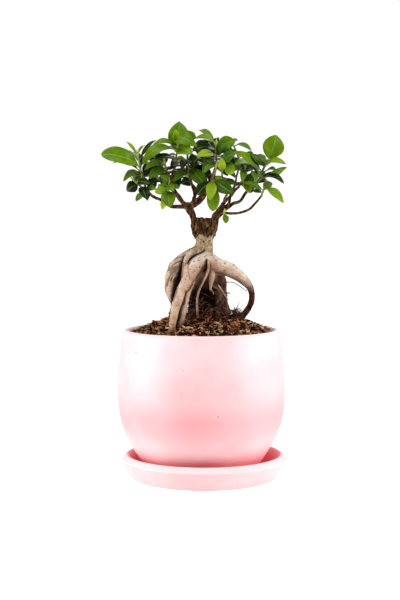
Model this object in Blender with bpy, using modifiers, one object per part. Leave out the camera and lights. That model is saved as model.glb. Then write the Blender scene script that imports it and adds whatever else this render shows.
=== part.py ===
"""A grafted ginseng ficus standing in a round-bellied pot on a saucer.

Metres, +Z up, origin on the table under the pot's axis, +X to the right and +Y to the back.
The pot, saucer and soil are turned shapes. The swollen roots and the branches are tapered tubes
joined in one body each. Every leafy shoot is one body: a twig with its leaves.
"""

import math
from collections import namedtuple

import bmesh
import bpy
from mathutils import Vector
from mathutils.bvhtree import BVHTree

MM = 0.001
GAP = 0.3 * MM

# Pot and saucer
TURN_STEPS = 28
MERGED = 0.05 * MM
# Radius and height of the saucer's section, in millimetres, from its floor over the rim to its foot
SAUCER_SECTION = [
    (59.0, 6), (62.0, 8.4), (67.7, 19), (68.3, 20.9), (69.6, 21.5), (70.9, 21.1),
    (74.7, 16.9), (74.4, 15.4), (72.7, 11.5), (70.5, 6.5), (67.4, 2.2), (65.0, 0),
]
SAUCER_SHIFT = 2.6 * MM
POT_BOTTOM = SAUCER_SECTION[0][1] * MM + GAP
POT_TOP = 134.5 * MM
POT_WALL = 6 * MM
POT_FLOOR = 7 * MM
POT_FLOOR_LEVEL = POT_BOTTOM + POT_FLOOR
POT_FLOOR_RADIUS = 43.8 * MM
FOOT_RADIUS = 47 * MM
FOOT_INNER_RADIUS = 41 * MM
FOOT_RECESS = 2 * MM
LIP_RADIUS = 3 * MM
LIP_OUTER_POINTS = 4
LIP_INNER_POINTS = 3
DRAIN_RADIUS = 6 * MM
# The hollow keeps the belly's curve between these heights
HOLLOW_FROM = 25 * MM
HOLLOW_TO = 125.5 * MM
# Outer radius and height of the pot's belly, in millimetres, from its foot up
POT_BELLY = [
    (51.0, 6.3), (55.8, 17), (63.6, 29.5), (70.6, 43.6), (74.8, 61),
    (76.0, 79), (75.3, 98), (73.1, 117), (70.5, 131.5),
]

# Soil
SOIL_CLEARANCE = 0.4 * MM
SOIL_EDGE = 130 * MM
SOIL_RADIUS = 64.2 * MM
SOIL_RINGS = 4
SOIL_CROWN = 17 * MM
SOIL_TILT = 0.03
SOIL_LUMP = 0.9 * MM

# Leaves
BLADE_THICKNESS = 0.75 * MM
BLADE_FOLD = math.radians(16)
BLUNTNESS = 0.7
PETIOLE_HALF_WIDTH = 0.8 * MM
PETIOLE_SHARE = 0.16
BLADE_STATIONS = (0.0, PETIOLE_SHARE, 0.36, 0.64, 0.89)
HIDDEN_STATIONS = (0.0, PETIOLE_SHARE, 0.44, 0.80)
AIR = 0.45 * MM
SUNK = 1.2 * MM
FREE_STEM = 3.2 * MM
# A leaf that would cross another one is bent nearer or farther, in millimetres of depth
DEPTH_STEPS = (0, 2, -2, 4, -4, 6, -6, 8, -8, 11, -11, 14, -14, 18, -18, 22, -22, 27, -27)
GOLDEN_ANGLE = math.radians(137.5)

# The plant is laid out as it looks from the front: a place is (x, z) in millimetres on the upright
# plane through the pot's axis, as seen from EYE, and its real depth y behind that plane.
EYE = Vector((-1.2, -1213, 249)) * MM
# Sides of the tubes: the neck, the stump, a thick, a middling and a thin one, and a twig
NECK_SIDES = 12
STUMP_SIDES = 10
THICK_TUBE = 4.8 * MM
THICK_SIDES = 8
MIDDLE_SIDES = 6
THIN_TUBE = 2.05 * MM
THIN_SIDES = 4
TWIG_SIDES = 6

# Edges sharper than these stay sharp
WARE_EDGE = math.radians(40)
WOOD_EDGE = math.radians(50)
LEAF_EDGE = math.radians(35)


def seen(x, z, y):
    """The point at depth y on the line of sight through (x, z) of the axis plane, in metres."""
    share = 1 - y * MM / EYE.y
    on_plane = Vector((x, 0, z)) * MM
    return EYE + (on_plane - EYE) * share


def as_seen(point):
    """The other way round: a point's x, z and y in millimetres, as seen() takes them."""
    share = 1 - point.y / EYE.y
    on_plane = (EYE + (point - EYE) / share) / MM
    return on_plane.x, on_plane.z, point.y / MM


# A tube's points: x, z, depth y and radius, in millimetres
ROOTS = {
    "neck": [(2.7, 220.4, 0, 9.4), (3, 214, 0, 8), (2, 208, 0, 8.9), (0.5, 200, 1, 10.6),
             (0, 193, 3, 10)],
    "left_bulb": [(-1, 205, 4, 6.5), (-8, 201, 6, 6.4), (-14, 197.2, 7, 6.9), (-19.4, 192.2, 8, 8.3),
                  (-22.8, 185.6, 9, 9.1), (-24.3, 178.2, 9, 9.3), (-24.6, 171, 9, 8.7),
                  (-24.2, 164.4, 8, 7.1), (-23.8, 158.9, 7, 5.3), (-24.1, 154.1, 7, 3.8),
                  (-26.2, 149.4, 7, 3), (-27.7, 142.8, 8, 2.8), (-28.5, 130, 9, 3)],
    "left_strand": [(-2.5, 207.3, -2, 5.2), (-9.6, 201.4, -6, 4), (-13.4, 195.6, -10, 3.1),
                    (-15, 188.3, -13, 2.6), (-15.9, 181.8, -16, 2.4), (-16.2, 176, -19, 2.2)],
    "front_leg": [(6, 197, -9, 6.4), (1.5, 196.3, -11, 6.6), (-2.8, 193.4, -14, 7), (-6.7, 188.8, -17, 7),
                  (-10, 182.6, -20, 6.2), (-12.6, 177.8, -22, 5.7), (-16.1, 171.6, -26, 5),
                  (-19.2, 164.6, -30, 4.6), (-21.4, 157.7, -33, 4.5), (-23.1, 152.2, -35, 4.2),
                  (-24.5, 145.9, -38, 4), (-25.4, 139.9, -41, 3.7), (-26.2, 132.7, -43, 3.5),
                  (-26.8, 121, -45, 3.5)],
    "second_leg": [(-9, 175, -19, 2.8), (-12, 168, -23, 2.8), (-13.5, 163, -26, 2.9),
                   (-15, 157.2, -29, 2.9), (-16.2, 151.8, -31, 3), (-17.4, 145.9, -33, 3.1),
                   (-18.7, 139.9, -36, 3.1), (-20.2, 134, -38, 3), (-21, 121, -39, 3)],
    "right_arch": [(1, 197, -8, 6.8), (8.8, 195.1, -11, 7.5), (15.5, 191.6, -12, 7.1),
                   (22.5, 189.4, -11.5, 6.7), (28.2, 186.7, -11, 6.3), (33.4, 183.1, -10, 5.6),
                   (38, 179, -8, 4.9), (41.9, 174.9, -6.5, 4), (44.4, 170.5, -5, 3.2), (45.5, 165.5, -3, 2.8),
                   (45.2, 160, -2, 2.7), (43.3, 154.6, 0, 2.7), (40.3, 150, 1, 2.9),
                   (37.2, 146.4, 2, 3.2), (34, 141.5, 3, 3.3), (31, 130, 4, 3.2)],
    "back_bulb": [(5, 198, 8, 8.5), (8, 188, 13, 10.7), (9, 178, 17, 13.4), (8, 168, 20, 15.5),
                  (7.8, 158, 21, 16.8), (8.2, 148, 22, 18), (7.5, 132, 22, 13)],
    "inner_root": [(3.2, 190, -3, 3.6), (1.8, 185, -2, 3.3), (-1, 180, -1, 3.1), (-3.6, 175.4, 0, 2.9),
                   (-5.6, 170.8, 1, 2.8), (-8.2, 160, 3, 3), (-9, 145, 6, 3.2), (-9, 130, 7, 3.2)],
    "pointed_root": [(9.4, 192, -12, 2.7), (9.5, 188, -13.5, 2.8), (9.6, 184.5, -14, 3),
                     (9.5, 181, -14.5, 2.7), (8.9, 177, -15, 2), (8.5, 173, -15, 1.2), (8, 170, -15, 0.7)],
    "curled_root": [(10, 175.5, 2, 2), (12.6, 173, 0, 1.8), (15.6, 171, -1, 1.6), (17.4, 167.6, -1, 1.5),
                    (17.4, 164, 0, 1.4), (16, 160.6, 1, 1.2), (13.6, 157.6, 6, 1.1)],
    "thin_root": [(6.3, 196, -18, 1.1), (6.5, 190, -20.5, 1), (5.7, 186, -21, 0.95), (4, 182, -20.5, 0.9),
                  (1.4, 176.7, -19.5, 0.9), (-1.5, 170.8, -18.5, 0.9), (-3.3, 164.8, -17, 0.9),
                  (-3.9, 158.9, -15.5, 0.9), (-3.7, 153, -14, 0.9), (-3.4, 147, -12, 0.9),
                  (-3, 138, -10, 0.9)],
}
# How many stretches the smooth curve of a tube has between two of its points
ROOT_STEPS = {"back_bulb": 2, "other": 1}
BRANCH_STEPS = {"other": 1, "left_scion": 2, "right_scion": 2}

STUMP = [(2.6, 214, 0, 8), (2.7, 219.6, 0, 9.6), (2.7, 223.4, 0, 10.8), (2.8, 228.5, 0, 12.2),
         (2.8, 234.2, 0, 11.2)]
BRANCHES = {
    "left_scion": [(-1.5, 223, -3, 4.2), (-5, 229, -5, 3.6), (-7.8, 235.6, -6, 3.1),
                   (-9.6, 240.8, -5, 3.4), (-11.6, 244.6, -4, 3.7), (-12.8, 247, -3, 2.8)],
    "right_scion": [(7, 223.5, -2, 4), (10.2, 228, -4, 3.8), (12.4, 234.6, -5, 3.4),
                    (15.2, 239.4, -4, 3.1), (18, 243.5, -4, 2.4), (20, 247.4, -4, 1.6)],
    "far_left": [(-12, 245, -3, 2.2), (-21.6, 245.2, -5, 1.7), (-27.6, 245.6, -6, 1.5),
                 (-35.6, 250.2, -8, 1.3), (-44.2, 254.4, -10, 1.2), (-48.4, 259, -12, 1.1)],
    "low_left": [(-39, 252, -9, 1.1), (-42, 253.4, -13, 1.1), (-45.6, 255.6, -17, 1)],
    "hanging_left": [(-26, 245.6, -5, 1.3), (-27.6, 248.6, -13, 1.1), (-29, 253.6, -21, 1)],
    "up_left": [(-13, 245.6, -4, 2), (-17.7, 250.6, -5, 1.5), (-23.2, 259.3, -6, 1.3),
                (-27, 268, -6, 1.15), (-29.5, 273.5, -6, 1)],
    "up_left_fork": [(-26.8, 267.4, -6, 1), (-27.2, 271.3, -7, 1), (-24.2, 278.3, -9, 0.95),
                     (-22.1, 282.3, -10, 0.9)],
    "up_centre": [(-9.6, 245.6, -2, 2), (-6.2, 253.3, 0, 1.4), (-8.2, 263.3, 2, 1.2)],
    "to_right": [(-12, 244.4, -4, 3.2), (-7, 246.6, -5, 3), (-2.7, 249.6, -6, 2.9),
                 (1.2, 253.8, -7, 2.6), (5, 260.6, -9, 2.2), (8.4, 267.4, -11, 1.9),
                 (11.4, 274.6, -13, 1.6), (13.6, 281, -14, 1.3)],
    "front_fork": [(5, 260.6, -9, 1.6), (7.6, 263.6, -17, 1.2), (9.4, 266.6, -24, 1.1)],
    "inner_fork": [(8.2, 267, -11, 1.5), (6.6, 272, -4, 1.2), (5.4, 277, 2, 1.1)],
    "right_up": [(16.8, 242.4, -4, 2), (24.6, 247.8, -6, 1.3), (26.4, 255, -7, 1.1),
                 (28.6, 261.6, -7, 1), (31.8, 264.4, -7, 0.95), (36.3, 265.8, -7, 0.9)],
    "right_up_fork": [(28.6, 261.4, -7, 1), (30.2, 264, -6, 0.95), (30.8, 267, -5, 0.9)],
    "right_long": [(15.6, 240.8, -3, 2.2), (21.6, 242.4, -2, 1.6), (28.3, 247.2, -1, 1.5),
                   (34.8, 250.2, 1, 1.4), (39, 256.2, 2, 1.3), (41.4, 259.2, 3, 1.2),
                   (45.6, 261, 4, 1.1)],
    "right_bow": [(15.4, 240, -5, 2), (19.3, 239.4, -7, 1.4), (26.4, 238.5, -10, 1.3),
                  (34.8, 239.4, -13, 1.2), (42, 241.8, -15, 1.1), (48.6, 247.8, -16, 1),
                  (53.4, 253.8, -17, 0.9)],
    "low_right": [(15.4, 239.6, -5, 1.8), (18.4, 239, -10, 1.1), (19.8, 238.8, -13, 1)],
    "back_left": [(-10.6, 242.4, -2, 2.4), (-18, 250, 9, 1.7), (-25, 258.6, 20, 1.4),
                  (-31, 265.6, 29, 1.2)],
    "back_centre": [(-6.8, 251, -1, 1.7), (-3.4, 261, 13, 1.4), (0, 271, 24, 1.2), (1, 277, 30, 1.1)],
    "back_right": [(13.4, 238.2, -3, 2.2), (19, 246.6, 10, 1.6), (27, 255.6, 22, 1.4),
                   (33, 262, 29, 1.2)],
    "far_back": [(-4, 259.4, 11, 1.5), (-7.6, 264, 24, 1.2), (-10, 268, 36, 1.1)],
}

# A leaf: where it leaves its twig (share of the twig's length), where its tip is (x, z, y), its
# width, which way its upper side looks (degrees from straight up towards the viewer), how far it
# bows, in millimetres, and its egg: above 1 it is broad and blunt at the tip, below 1 at the stalk.
Leaf = namedtuple("Leaf", "at x z y width face bow egg", defaults=(1.08,))
# A shoot: the branch that it carries on, the points of its twig, and its leaves. A shoot of the
# hidden back of the crown has a number of leaves, which follow the golden angle.
Shoot = namedtuple("Shoot", "branch twig leaves")
SHOOTS = {
    "shoot_left": Shoot("far_left", [
        (-51.2, 266, -14, 1), (-53.8, 275, -16, 1), (-55.4, 283, -18, 0.9), (-57, 291, -19, 0.8),
    ], [
        Leaf(0.58, -88.3, 292.4, -44, 17, 60, 8, 1.55), Leaf(0.52, -79, 284.8, -14, 9, 25, 4),
        Leaf(0.98, -66.8, 303, -22, 3.4, 50, 1), Leaf(1.0, -50.5, 299.8, -26, 4.5, 20, 2),
        Leaf(0.84, -41.4, 304.8, -12, 6, 20, 1), Leaf(0.42, -69.6, 268.3, -32, 9, 38, 6),
        Leaf(0.16, -34, 267, 6, 14, 40, 3), Leaf(0.70, -63, 294, 12, 10, -25, 3),
        Leaf(0.30, -64, 275, 10, 11, -10, 3), Leaf(0.62, -50.6, 290, -6, 9, 60, 3),
        Leaf(0.28, -45.8, 283, 2, 11, 60, 3),
    ]),
    "shoot_low_left": Shoot("low_left", [
        (-50.4, 259.4, -20, 1), (-56, 264.4, -22, 0.9), (-61, 269, -23, 0.8),
    ], [
        Leaf(0.66, -67, 259.2, -26, 11, 75, 3), Leaf(0.56, -49.6, 252.4, -34, 9, 62, 3),
        Leaf(0.28, -58.8, 250, -16, 5.5, -70, 1), Leaf(0.20, -41.2, 261, -36, 7, 60, 2),
        Leaf(0.82, -46.5, 266, -36, 8, 62, 2), Leaf(0.06, -40.6, 267.5, -26, 9, 60, 3),
        Leaf(1.0, -55.5, 274.5, -34, 8, 60, 3), Leaf(0.05, -48.6, 250.8, -36, 5, 75, 1),
    ]),
    "shoot_hanging_left": Shoot("hanging_left", [(-29.4, 259, -26, 0.9), (-29, 266, -29, 0.8)], [
        Leaf(0.50, -28.3, 245.2, -42, 13, 82, 3, 1.3), Leaf(0.40, -41.6, 258, -34, 9, 70, 2),
        Leaf(0.30, -38.6, 264.6, -38, 7, 60, 1), Leaf(0.92, -25.4, 259.4, -42, 8, 80, 1, 1.2),
        Leaf(0.75, -19.4, 262.4, -32, 5, 60, 1), Leaf(0.03, -35.4, 242.4, -25, 6, 78, 1),
        Leaf(1.0, -36.6, 272.6, -34, 7, 66, 2),
    ]),
    "shoot_upper_left": Shoot("up_left_fork", [
        (-22.6, 288, -12, 0.9), (-21.6, 294, -13, 0.9), (-20.8, 299.4, -14, 0.8),
    ], [
        Leaf(0.44, -19.8, 321.2, -6, 19, 80, 2, 0.85), Leaf(0.86, -4.6, 299.4, -30, 15, 56, 11),
        Leaf(0.72, -52.6, 284.4, -28, 11, 50, 9, 1.25), Leaf(0.84, -43.4, 300.6, -6, 8, 38, 5),
        Leaf(0.90, -8.8, 292.8, -40, 12.5, 80, 3, 1.1), Leaf(0.62, -36, 297, 14, 12, -15, 3),
        Leaf(0.95, -23.2, 313.4, -22, 7, 72, 2), Leaf(0.24, -41, 288.6, -34, 8, 45, 3),
        Leaf(0.10, -36, 284, 12, 14, 15, 3),
    ]),
    "shoot_mid_left": Shoot("up_left", [(-31.4, 278, -7, 0.9), (-32.6, 283.6, -8, 0.8)], [
        Leaf(0.48, -46.6, 270.6, -22, 10.5, 62, 4), Leaf(0.95, -51, 278, -16, 7, 52, 7),
        Leaf(0.15, -36, 265.6, -18, 8, 72, 1), Leaf(0.70, -52, 289, 6, 15, 45, 4),
        Leaf(0.60, -10, 279, 12, 15, 45, 3),
    ]),
    "shoot_centre": Shoot("up_centre", [
        (-10.2, 272, 4, 1.1), (-11.2, 280, 5, 1), (-12.5, 288, 3, 0.9), (-11.5, 296, 2, 0.9),
        (-9.4, 302, 3, 0.8),
    ], [
        Leaf(0.09, -18, 265.8, -12, 9.5, 80, 1, 1.0), Leaf(0.27, -24.8, 268, -12, 8, 52, 4),
        Leaf(0.60, -17.6, 279.6, -22, 8, 50, 2), Leaf(0.95, -13, 312.4, -8, 11, 50, 3),
        Leaf(0.42, 4.9, 262.4, -18, 13, 66, 3), Leaf(0.52, -4.6, 283, -12, 9, 35, 2),
        Leaf(0.58, -22.6, 287.2, -20, 5.5, 50, 1), Leaf(0.74, 12, 297, 16, 16, 50, 4),
        Leaf(0.85, -14, 305, 22, 15, 40, 4), Leaf(0.34, 10, 272, 12, 15, 50, 3),
    ]),
    "shoot_top": Shoot("to_right", [
        (13.6, 286, -15, 1.1), (13.2, 291, -15, 1), (13.2, 296, -14, 0.9), (13.4, 301, -13, 0.8),
    ], [
        Leaf(0.44, -3.4, 290.6, -38, 9.5, 55, 3), Leaf(0.46, 20.6, 300.4, -34, 10, 70, 1),
        Leaf(0.78, 30, 303.6, -22, 13, 74, 3, 1.2), Leaf(0.90, -5.6, 306.2, -18, 8, 40, 5),
        Leaf(1.0, -2.2, 313.6, 2, 7, 34, 4), Leaf(0.68, 29, 293, -6, 14, 50, 3),
        Leaf(0.12, 1.4, 284.4, -26, 9, 50, 2), Leaf(0.05, 1.4, 274.5, -26, 8, 32, 3),
        Leaf(0.80, 5, 303, 14, 14, 30, 3), Leaf(0.30, 32, 279, 4, 15, 50, 3),
    ]),
    "shoot_front_centre": Shoot("front_fork", [
        (10.4, 271, -29, 0.9), (12.4, 276.5, -32, 0.9), (13.4, 281, -34, 0.8),
    ], [
        Leaf(0.10, 7.8, 251.2, -42, 9.5, 80, 3), Leaf(0.0, 10.4, 240.8, -32, 11.5, 80, 2, 1.25),
        Leaf(0.04, -3.4, 255.4, -30, 9.5, 72, 2), Leaf(0.20, 27.7, 257, -38, 12.5, 80, 2),
        Leaf(0.96, 2.2, 275.8, -42, 6, 48, 3), Leaf(0.90, 1.4, 286.4, -40, 7, 50, 2),
    ]),
    "shoot_front_right": Shoot("right_scion", [
        (21, 252, -8, 1.2), (23, 256.4, -12, 1.1), (22, 263, -18, 1), (19, 270, -22, 0.9),
        (18.6, 277, -25, 0.9), (19.6, 283, -26, 0.8),
    ], [
        Leaf(0.66, 12, 266.6, -34, 7, 70, 2), Leaf(0.64, 30.6, 265.4, -34, 7, 60, 1),
        Leaf(0.84, 18.2, 287.8, -42, 7.2, 84, 1), Leaf(0.98, 29.4, 274.8, -38, 10.5, 76, 2),
        Leaf(0.90, 33, 279, -20, 8, 66, 2), Leaf(1.0, 30, 292.6, -32, 10, 60, 3),
    ]),
    "shoot_mid_right": Shoot("right_up", [(38, 270.4, -8, 0.9), (39.4, 280, -11, 0.8)], [
        Leaf(0.92, 36.8, 268, -26, 6.5, 75, 2), Leaf(0.10, 43.2, 257.5, -20, 8, 80, 1),
        Leaf(0.20, 47, 268.6, -18, 9, 62, 2), Leaf(1.0, 30.6, 284.2, -26, 9, 45, 3),
        Leaf(0.55, 50, 277, 12, 11, 20, 3),
    ]),
    "shoot_upper_right": Shoot("right_up_fork", [
        (31.6, 272, -4, 0.9), (33.4, 279, -3, 0.9), (33.6, 286, -3, 0.9), (31.8, 293, -3, 0.9),
        (28.6, 299.6, -4, 0.8),
    ], [
        Leaf(0.0, 24.8, 274.6, -18, 8.5, 66, 1), Leaf(1.0, 44.8, 295.3, -14, 6.5, 38, 4),
        Leaf(0.62, 45, 291, 12, 12, 0, 3), Leaf(0.86, 17, 292, 8, 15, 50, 3),
        Leaf(0.30, 50, 283, 8, 15, 50, 3),
    ]),
    "shoot_right": Shoot("right_long", [
        (49.6, 265.4, 2, 1), (53.4, 271.4, -1, 1), (55, 277.5, -4, 1), (57.5, 281.5, -5, 0.9),
        (60.2, 284.4, -6, 0.8),
    ], [
        Leaf(1.0, 66.8, 308.8, -6, 19.5, 84, 2, 1.0), Leaf(0.80, 74.8, 284, -28, 8, 52, 5),
        Leaf(0.44, 76.2, 281.2, -8, 9, -30, -3), Leaf(0.46, 66, 279, -26, 8, 45, 2),
        Leaf(0.30, 73.7, 267, -18, 8.5, 32, 5), Leaf(0.34, 70, 275.2, 12, 6, 20, 2),
        Leaf(0.60, 28, 294.6, -24, 11, 50, 5, 0.95), Leaf(0.50, 31.6, 285, -36, 9.5, 48, 4),
        Leaf(0.80, 44.4, 291.6, -16, 8, 60, 1), Leaf(0.92, 50, 288.6, 2, 9, 50, 2),
        Leaf(0.16, 45.6, 276.6, -20, 8, 70, 1), Leaf(0.66, 66, 286, 26, 14, -5, 4),
        Leaf(0.26, 40, 272, 22, 15, 50, 3), Leaf(0.14, 60, 268, 10, 9, 40, 3),
    ]),
    "shoot_low_right": Shoot("right_bow", [(55, 257.5, -18, 0.9), (57.4, 262.4, -19, 0.8)], [
        Leaf(0.98, 73.6, 248.8, -32, 8, 60, 5), Leaf(0.42, 62.2, 267.4, -34, 8, -70, 1),
        Leaf(0.60, 38.8, 266.8, -34, 7, 58, 2), Leaf(0.04, 46.6, 258.6, -20, 5.5, 60, 2),
    ]),
    "shoot_low": Shoot("low_right", [(20.6, 240, -16, 0.9)], [Leaf(0.50, 22.4, 229.8, -18, 6, 75, 1)]),
    "shoot_inner": Shoot("inner_fork", [(5, 283, 8, 1), (4, 290, 13, 0.9)], 10),
    "shoot_back_left": Shoot("back_left", [(-35, 271, 33, 1), (-38, 278, 36, 0.9)], 9),
    "shoot_back_centre": Shoot("back_centre", [(2, 281, 34, 1), (4.5, 287, 37, 0.9)], 9),
    "shoot_back_right": Shoot("back_right", [(37, 269, 34, 1), (41, 277, 37, 0.9)], 9),
    "shoot_far_back": Shoot("far_back", [(-12, 272, 44, 1), (-13, 279, 51, 0.9)], 7),
}
# Leaves set by rule: their mean length, by which share it swings from leaf to leaf, their width,
# how steeply the lowest and the highest ones rise, how far they lean, how far they bow, and how
# many places there are for each of them
BACK_LEAF_LENGTH = 28.8 * MM
BACK_LEAF_SWING = 0.22
SWING_STEP = 2.1
BACK_LEAF_WIDTH = 17
LOWEST_RISE = math.radians(-8)
HIGHEST_RISE = math.radians(36)
BACK_LEAF_LEAN = 25
BACK_LEAF_BOW = 4
SPARE_PLACES = 4
SPARE_STRIDE = 7


# Helpers

def clear_scene():
    for obj in list(bpy.data.objects):
        bpy.data.objects.remove(obj)


def srgb(code):
    """A colour as Blender's linear values, from its six hexadecimal digits."""
    parts = [int(code[i:i + 2], 16) / 255 for i in (0, 2, 4)]
    return [c / 12.92 if c <= 0.04045 else ((c + 0.055) / 1.055) ** 2.4 for c in parts]


def material(name, colour, roughness):
    made = bpy.data.materials.new(name)
    made.use_nodes = True
    shader = made.node_tree.nodes["Principled BSDF"]
    shader.inputs["Base Color"].default_value = (*srgb(colour), 1)
    shader.inputs["Roughness"].default_value = roughness
    shader.inputs["Metallic"].default_value = 0
    return made


def new_collection(name):
    made = bpy.data.collections.new(name)
    bpy.context.scene.collection.children.link(made)
    return made


def new_object(name, mesh, collection, surface=None):
    obj = bpy.data.objects.new(name, mesh)
    collection.objects.link(obj)
    if surface:
        mesh.materials.clear()
        mesh.materials.append(surface)
    return obj


def evaluated_mesh(obj):
    bpy.context.view_layer.update()
    return bpy.data.meshes.new_from_object(obj.evaluated_get(bpy.context.evaluated_depsgraph_get()))


def apply_modifiers(obj):
    mesh = evaluated_mesh(obj)
    obj.modifiers.clear()
    obj.data = mesh


def keep_main_body(mesh):
    """Drop the scraps and the sealed hollows that a union leaves: only the widest body stays."""
    bm = bmesh.new()
    bm.from_mesh(mesh)
    bodies = []
    waiting = set(bm.verts)
    while waiting:
        body = set()
        edge_of_body = [waiting.pop()]
        while edge_of_body:
            vert = edge_of_body.pop()
            body.add(vert)
            for edge in vert.link_edges:
                other = edge.other_vert(vert)
                if other in waiting:
                    waiting.remove(other)
                    edge_of_body.append(other)
        bodies.append(body)
    bodies.sort(key=len)
    for body in bodies[:-1]:
        bmesh.ops.delete(bm, geom=list(body), context="VERTS")
    bm.to_mesh(mesh)
    bm.free()


def combine(obj, others, operation="UNION", solver="EXACT"):
    """One Boolean of obj with every object of a collection, applied; the collection is removed."""
    boolean = obj.modifiers.new("Join", "BOOLEAN")
    boolean.operation = operation
    boolean.operand_type = "COLLECTION"
    boolean.collection = others
    boolean.solver = solver
    apply_modifiers(obj)
    for other in list(others.objects):
        bpy.data.objects.remove(other)
    bpy.data.collections.remove(others)
    keep_main_body(obj.data)


def catmull_rom(points, steps):
    """Points of a smooth curve through the given ones, with a number of steps between each two."""
    ends = [2 * points[0] - points[1], *points, 2 * points[-1] - points[-2]]
    found = []
    for a, b, c, d in zip(ends, ends[1:], ends[2:], ends[3:]):
        for i in range(steps):
            t = i / steps
            found.append(0.5 * (2 * b + (c - a) * t + (2 * a - 5 * b + 4 * c - d) * t * t
                                + (3 * b - a - 3 * c + d) * t ** 3))
    return found + [points[-1].copy()]


def route(rows):
    """A tube's rows of (x, z, y, radius) as four-part vectors in metres."""
    return [Vector((*seen(x, z, y), r * MM)) for x, z, y, r in rows]


def onward(points, distance):
    """The point that lies a distance past the end of a tube, straight on."""
    ahead = (points[-1] - points[-2]).xyz.normalized() * distance
    return Vector((*(points[-1].xyz + ahead), points[-1].w))


def tube_sides(points):
    """How many sides a tube has: a thinner one has fewer."""
    widest = max(point.w for point in points)
    if widest > THICK_TUBE:
        return THICK_SIDES
    return MIDDLE_SIDES if widest > THIN_TUBE else THIN_SIDES


def tube_mesh(points, sides=THICK_SIDES, grow=0.0):
    """A closed tube along four-part points (a place and a radius), from a bevelled curve."""
    curve = bpy.data.curves.new("tube", "CURVE")
    curve.dimensions = "3D"
    curve.bevel_depth = 1.0
    curve.bevel_resolution = sides // 2 - 2
    curve.use_fill_caps = True
    spline = curve.splines.new("POLY")
    spline.points.add(len(points) - 1)
    for spot, point in zip(spline.points, points):
        spot.co = (*point.xyz, 1)
        spot.radius = point.w + grow
    holder = bpy.data.objects.new("tube", curve)
    bpy.context.scene.collection.objects.link(holder)
    mesh = evaluated_mesh(holder)
    bpy.data.objects.remove(holder)
    bm = bmesh.new()
    bm.from_mesh(mesh)
    bmesh.ops.remove_doubles(bm, verts=bm.verts, dist=1e-6)
    bmesh.ops.recalc_face_normals(bm, faces=bm.faces)
    bm.to_mesh(mesh)
    bm.free()
    return mesh


def turned(name, outline, collection, surface, closed):
    """A body turned from an outline of (radius, height) that runs down its outer side."""
    mesh = bpy.data.meshes.new(name)
    edges = [(i, i + 1) for i in range(len(outline) - 1)]
    if closed:
        edges.append((len(outline) - 1, 0))
    mesh.from_pydata([(r, 0, z) for r, z in outline], edges, [])
    obj = new_object(name, mesh, collection, surface)
    screw = obj.modifiers.new("Turn", "SCREW")
    screw.steps = screw.render_steps = TURN_STEPS
    screw.use_merge_vertices = True
    screw.merge_threshold = MERGED
    screw.use_normal_calculate = True
    apply_modifiers(obj)
    obj.data.shade_smooth()
    obj.data.set_sharp_from_angle(angle=WARE_EDGE)
    return obj


def arc(centre, radius, first, last, count):
    """Points on an arc about a centre (radius, height), between two angles in degrees."""
    found = []
    for i in range(count):
        angle = math.radians(first + (last - first) * i / (count - 1))
        found.append((centre[0] + radius * math.cos(angle), centre[1] + radius * math.sin(angle)))
    return found


# Saucer, pot and soil

def build_saucer(collection, surface):
    """The saucer: a flat floor, a low thick wall and a rim that is bevelled on its outer side."""
    section = [(r * MM, z * MM) for r, z in SAUCER_SECTION]
    outline = [(0, section[0][1]), *section, (0, 0)]
    return turned("saucer", outline, collection, surface, closed=False)


def pot_outline():
    """The pot's section: down the belly, in under the foot and the drain hole, up inside."""
    belly = [(r * MM, z * MM) for r, z in POT_BELLY]
    lip_centre = (POT_BELLY[-1][0] * MM - LIP_RADIUS, POT_TOP - LIP_RADIUS)
    inside = [(r - POT_WALL, z) for r, z in belly if HOLLOW_FROM < z < HOLLOW_TO]
    return [
        *arc(lip_centre, LIP_RADIUS, 90, 0, LIP_OUTER_POINTS),
        *reversed(belly),
        (FOOT_RADIUS, POT_BOTTOM),
        (FOOT_INNER_RADIUS, POT_BOTTOM + FOOT_RECESS),
        (DRAIN_RADIUS, POT_BOTTOM + FOOT_RECESS),
        (DRAIN_RADIUS, POT_FLOOR_LEVEL),
        (POT_FLOOR_RADIUS, POT_FLOOR_LEVEL),
        *inside,
        *arc(lip_centre, LIP_RADIUS, 180, 120, LIP_INNER_POINTS),
    ]


def build_pot(collection, surface):
    return turned("pot", pot_outline(), collection, surface, closed=True)


def soil_height(x, y):
    """The soil's surface: a low mound, a little higher to the right, with shallow lumps."""
    radius = math.hypot(x, y)
    share = radius / SOIL_RADIUS
    lumps = math.sin(210 * x + 1.3) * math.sin(190 * y + 0.4) + 0.5 * math.sin(430 * x - 380 * y)
    inside = max(0.0, 1 - share ** 2)
    return SOIL_EDGE + inside * SOIL_CROWN + (SOIL_TILT * x + SOIL_LUMP * lumps) * inside ** 0.5


def build_soil(collection, surface, root_routes):
    """The soil fills the pot inside its wall, with a plain hole for every root."""
    floor = POT_FLOOR_LEVEL + GAP
    wall = [(r * MM - POT_WALL - SOIL_CLEARANCE, z * MM) for r, z in reversed(POT_BELLY)
            if HOLLOW_FROM < z * MM < HOLLOW_TO]
    rings = [SOIL_RADIUS * i / SOIL_RINGS for i in range(SOIL_RINGS + 1)]
    bottom = [(POT_FLOOR_RADIUS - SOIL_CLEARANCE, floor), (0, floor)]
    outline = [(r, SOIL_EDGE) for r in rings] + wall + bottom
    soil = turned("soil", outline, collection, surface, closed=False)
    for vert in soil.data.vertices:
        if vert.co.z > SOIL_EDGE - MERGED:
            vert.co.z = soil_height(vert.co.x, vert.co.y)
    holes = new_collection("holes")
    for name, points in root_routes.items():
        foot = points[-1]
        if foot.z < soil_height(foot.x, foot.y):
            bored = new_object("hole_" + name, tube_mesh([*points, onward(points, GAP)], grow=GAP), holes)
            bored.hide_render = True
            bored.display_type = "WIRE"
    combine(soil, holes, "DIFFERENCE")
    return soil


# Trunk

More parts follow.
